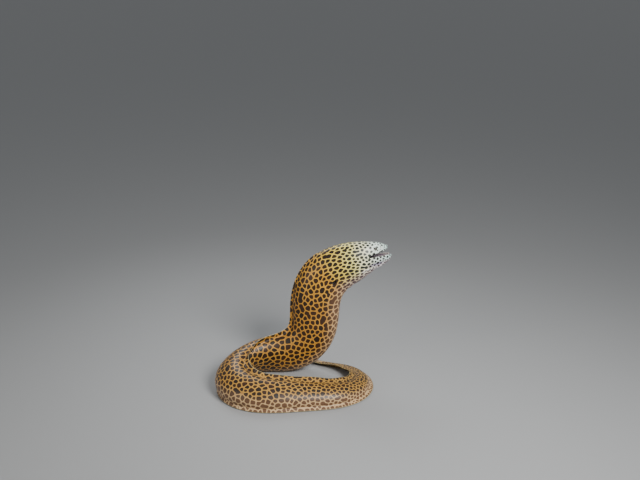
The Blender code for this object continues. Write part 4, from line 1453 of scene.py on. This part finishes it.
def eye_material():
    """A black pupil in a narrow golden ring and a dark brown iris under a clear wet coat."""
    paint = Paint("eye_dark", {"Roughness": 0.25, "Coat Weight": 1.0, "Coat Roughness": 0.02})
    parts = paint.node("SeparateXYZ", {0: paint.place()}).node.outputs
    squares = [paint.times(parts[axis], parts[axis]) for axis in ("X", "Y")]
    share = paint.math("DIVIDE", paint.math("SQRT", paint.math("ADD", *squares)), EYE_RADIUS)
    fleck = paint.times(paint.math("SUBTRACT", paint.noise(1400.0, 3.0, 0.7), 0.5), 0.05)
    return paint.finish(paint.ramp(paint.math("ADD", share, fleck), IRIS_COLOURS))


def tooth_material():
    """Clear ivory, a little darker in cloudy streaks."""
    paint = Paint("tooth_ivory", {"Roughness": 0.25, "Coat Weight": 0.6, "Coat Roughness": 0.05})
    return paint.finish(paint.mix(paint.noise(700.0), IVORY, IVORY_STREAK))


def floor_material():
    return Paint("floor_grey", {"Roughness": 0.75}).finish((*FLOOR_GREY, 1.0))


def soften_mouth(points, faces, s, height):
    """The points with the lips and the tips of the jaws rounded off."""
    upper = height > MOUTH_MIDDLE - MOUTH_DROOP * rising(s, *DROOP_RISE)
    edge = np.abs(height - np.where(upper, read_table(UPPER_LIP, s), read_table(LOWER_LIP, s)))
    weight = SOFTENING * (s < LIP_SOFT_END) * smooth(1 - edge / LIP_SOFT_WIDTH) * rising(s, *LIP_SOFT_RISE)
    points = relax(points, faces, weight, LIP_SOFT_ROUNDS)
    tip = np.where(height > 0.5 * (SNOUT_HEIGHT + CHIN_HEIGHT), SNOUT_TIP, 0.0)
    return relax(points, faces, SOFTENING * smooth(1 - (s - tip) / TIP_SOFT_LENGTH), TIP_SOFT_ROUNDS)


def skin_relief(spine, points, fields):
    """How far the skin stands out or in, the painted highlight on the throat's fold with the painted shade
    under the jaw, and how dark the painted shade in the openings and the curved crease is.
    """
    s, _, height = fields.T[:3]
    crease, crease_shade = corner_relief(s, height)
    fold, painted_fold_light = jaw_fold_relief(s, height)
    gill, gill_dark = gill_relief(spine, points)
    pores, pore_dark = pore_relief(spine, points)
    relief = eye_relief(spine, points) * (s < EYE_RELIEF_END)
    relief += lip_relief(s, height) + crease + fold
    relief += branchial_relief(s, height) + cheek_relief(s, height) + bend_relief(spine, fields)
    # How dark the painted shade is in the openings and the curved crease.
    dark = np.maximum(gill_dark, np.maximum(PORE_DARKNESS * pore_dark, CREASE_DARKNESS * crease_shade))
    return relief + gill + pores - SKIN_INSET, painted_fold_light, dark


def make_skin(spine, material):
    """The skin with all its relief, and the fields that its colours are drawn from."""
    points, fields, faces = build_skin(spine)
    faces = faces[:, ::-1]
    s, side, height, level, lining = fields.T
    outside = lining < 0.5 * OUTSIDE
    points = soften_mouth(points, faces, s, height)
    for _, middle, out in eye_places(spine):
        place = middle + out * (EYE_RADIUS - EYE_PROUD)
        wrap_round(points, outside, place, out, spine.frame(EYE_AT)[1], EYE_WRAP)
    relief, painted_fold_light, pit = skin_relief(spine, points, fields)
    points = points + vertex_normals(points, faces) * np.where(outside, relief, 0.0)[:, None]
    points[:, 2] = soft_floor(points[:, 2])
    area = np.where(outside, vertex_areas(points, faces), 0.0)
    spot, shade = spot_fields(spine, points, area, s)
    reach = np.where(height > 0, crown(s), throat(s)) + 1e-4
    mesh = grid_mesh("skin", points, faces, {
        "along": np.stack([s / TOTAL_LENGTH, height / reach, side / np.maximum(half_width(s), 1e-4)], axis=1),
        "spot": spot - eye_clearing(spine, points),
        "shade": shade,
        "fin": level,
        "lining": np.maximum(lining, 0.0),
        "painted_fold_light": np.where(outside, painted_fold_light, 0.0),
        "pit": np.where(outside, pit, 0.0),
    })
    return new_piece("skin", mesh, material)


def turned_faces(rows, count, first):
    """Quads of a closed tube of rings, with both its ends folded shut."""
    grid = first + np.arange(rows * count).reshape(rows, count)
    ends = [folded(grid[0])[:, ::-1], folded(grid[-1])]
    return np.concatenate([quads(beside(grid, grid[:, :1])), *ends])


def ring_across(way, other, count):
    """Points of a circle across a direction, as offsets of length 1."""
    one = unit(np.cross(way, other))
    turn = 2 * math.pi * np.arange(count) / count
    return np.outer(np.cos(turn), one) + np.outer(np.sin(turn), np.cross(way, one))


def tooth_points(root, point, bend, radius):
    """A slender cone from the root towards the point that curves along the bend."""
    t = np.linspace(0.0, 1.0, TOOTH_RINGS)
    axis = root + np.outer(t, point - root) + np.outer(t**2, bend)
    ring = ring_across(unit(point - root), bend, TOOTH_SIDES)
    thick = radius * (1 - 0.97 * t**1.2)
    return (axis[:, None] + thick[:, None, None] * ring[None]).reshape(-1, 3)


def make_teeth(spine, name, start, count, table, way, material):
    """One jaw's teeth: slender, a little curved towards the throat, and longest near the front."""
    rng = np.random.default_rng(TOOTH_SEED + way)
    points = []
    faces = []
    for k in range(count):
        s = start + (TEETH_END - start) * (k + 0.3) / count
        lip = float(read_table(table, s))
        side = section(s, side_angle(s, lip))[0]
        grow = float(rounded((s - start + TEETH_LEAD) / TEETH_ROUNDING, 2.0))
        reach = (float(side) - LIP_THICKNESS - GUM_INWARD) * grow
        place, tail, up, left = spine.frame(s)
        size = rng.uniform(*TOOTH_SIZES) * (FIRST_TOOTH - TOOTH_FALL * k / count)
        for hand in (-1, 1):
            root = place + left * (hand * reach) + up * (lip + way * TOOTH_ROOT)
            aim = unit(-way * up - TOOTH_LEAN * hand * left + rng.uniform(-TOOTH_SWAY, TOOTH_SWAY) * tail)
            length = TOOTH_HEIGHT * size
            bend = TOOTH_CURVE * length * tail
            points.append(tooth_points(root, root + aim * length, bend, TOOTH_RADIUS * size))
            faces.append(turned_faces(TOOTH_RINGS, TOOTH_SIDES, len(faces) * TOOTH_RINGS * TOOTH_SIDES))
    mesh = grid_mesh(name, np.concatenate(points), np.concatenate(faces))
    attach(new_piece(name, mesh, material), "root")


def make_nostril(name, s, place, out, profile, material):
    """A turned rim or tube of skin round a nostril, from its foot over the edge to the inside, where shade is
    painted dark.
    """
    radii, rises, dark = (np.array(column) for column in zip(*profile))
    ring = ring_across(out, (0.3, 1.0, 0.2), NOSTRIL_SIDES)
    points = place + (rises[:, None, None] * out + radii[:, None, None] * ring[None]).reshape(-1, 3)
    fields = {field: np.zeros(len(points)) for field in ("shade", "fin", "lining", "painted_fold_light")}
    fields["along"] = np.tile([s / TOTAL_LENGTH, 0.6, 0.0], (len(points), 1))
    fields["spot"] = np.full(len(points), -0.20)
    fields["pit"] = np.repeat(dark, NOSTRIL_SIDES)
    mesh = grid_mesh(name, points, turned_faces(len(profile), NOSTRIL_SIDES, 0), fields)
    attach(new_piece(name, mesh, material), "root")


def make_nostrils(spine, material):
    """A short tube at each side of the snout, and a low rim over each eye."""
    for side, hand in (("left", 1), ("right", -1)):
        angle = hand * math.radians(FRONT_NOSTRIL_ANGLE)
        s = FRONT_NOSTRIL_AT
        wide, height = section(s, angle)
        grow = jaw_growth(s, SNOUT_TIP, SNOUT_GROWTH)
        place, tail, up, left = spine.frame(s)
        place = place + left * (wide * grow[0]) + up * (SNOUT_HEIGHT + (height - SNOUT_HEIGHT) * grow[1])
        out = unit(math.sin(angle) * left - 0.75 * tail + 0.7 * up)
        make_nostril("front_nostril_" + side, s, place, out, FRONT_NOSTRIL, material)
        place, out = spine.skin(REAR_NOSTRIL_AT, hand * math.radians(REAR_NOSTRIL_ANGLE))
        make_nostril("rear_nostril_" + side, REAR_NOSTRIL_AT, place, out, REAR_NOSTRIL, material)


def make_eyes(spine):
    material = eye_material()
    for name, middle, out in eye_places(spine):
        bpy.ops.mesh.primitive_uv_sphere_add(segments=EYE_SEGMENTS, ring_count=EYE_RINGS, radius=EYE_RADIUS)
        eye = bpy.context.object
        eye.data.shade_smooth()
        eye.data.materials.append(material)
        eye.name = "eyeball_" + name.split("_")[1]
        turn = Vector(out).to_track_quat("Z", "Y").to_matrix().to_4x4()
        eye.matrix_world = Matrix.Translation(middle) @ turn
        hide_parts(name)
        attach(eye, "root")


def make_floor():
    bpy.ops.mesh.primitive_plane_add(size=GROUND_SIZE, location=(0.0, 0.0, -GROUND_DROP))
    floor = bpy.context.object
    floor.name = "floor"
    floor.data.materials.append(floor_material())
    floor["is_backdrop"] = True


def make_camera(spine):
    """The photo's view: along +Y and a little down, with the eel as small in the frame as there."""
    rise = math.radians(CAMERA_RISE)
    target = spine.frame(AIM_AT)[0] + np.array([AIM_ASIDE, 0.0, AIM_OVER / math.cos(rise)])
    data = bpy.data.cameras.new("camera")
    data.lens = LENS
    data.sensor_width = SENSOR
    data.clip_end = 50.0
    camera = placed("camera", data)
    camera.location = Vector(target) + CAMERA_DISTANCE * Vector((0.0, -math.cos(rise), math.sin(rise)))
    camera.rotation_euler = (math.radians(90.0) - rise, 0.0, 0.0)
    bpy.context.scene.camera = camera


def add_light(name, place, size, power, colour, spread):
    data = bpy.data.lights.new(name, "AREA")
    data.shape = "DISK"
    data.size = size
    data.energy = power
    data.color = colour
    data.spread = math.radians(spread)
    light = placed(name, data)
    light.location = place
    light.rotation_euler = (Vector(LIGHTS_AIM) - Vector(place)).to_track_quat("-Z", "Y").to_euler()


def make_lights():
    for row in LIGHTS:
        add_light(*row)
    world = bpy.data.worlds.new("studio")
    world.use_nodes = True
    background = world.node_tree.nodes["Background"]
    background.inputs["Color"].default_value = (*WORLD_COLOUR, 1.0)
    background.inputs["Strength"].default_value = WORLD_STRENGTH
    bpy.context.scene.world = world


def note_size(name, sizes):
    """Keeps the box of what is shown, under the given name."""
    low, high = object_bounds()
    sizes[name] = [list(low), list(high)]


# The solids of flesh between the head and the tail fin, from front to rear
LENGTH_NAMES = (
    "neck", "fore_body", "trunk_front", "trunk_middle", "trunk_rear",
    "tail_front", "tail_middle", "tail_rear",
)


def main():
    sizes = {}
    note_size("solids", sizes)
    spine = Spine()
    material = skin_material()
    skin = make_skin(spine, material)
    fins = ["dorsal_fin_" + name for name in LENGTH_NAMES] + ["anal_fin_" + name for name in LENGTH_NAMES[3:]]
    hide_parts("head", "lower_jaw", *LENGTH_NAMES, "tail_fin", *fins)
    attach(skin, "root")
    make_eyes(spine)
    ivory = tooth_material()
    for row in TOOTH_ROWS:
        make_teeth(spine, *row, ivory)
    make_nostrils(spine, material)
    make_floor()
    make_camera(spine)
    make_lights()
    note_size("dressed", sizes)


main()
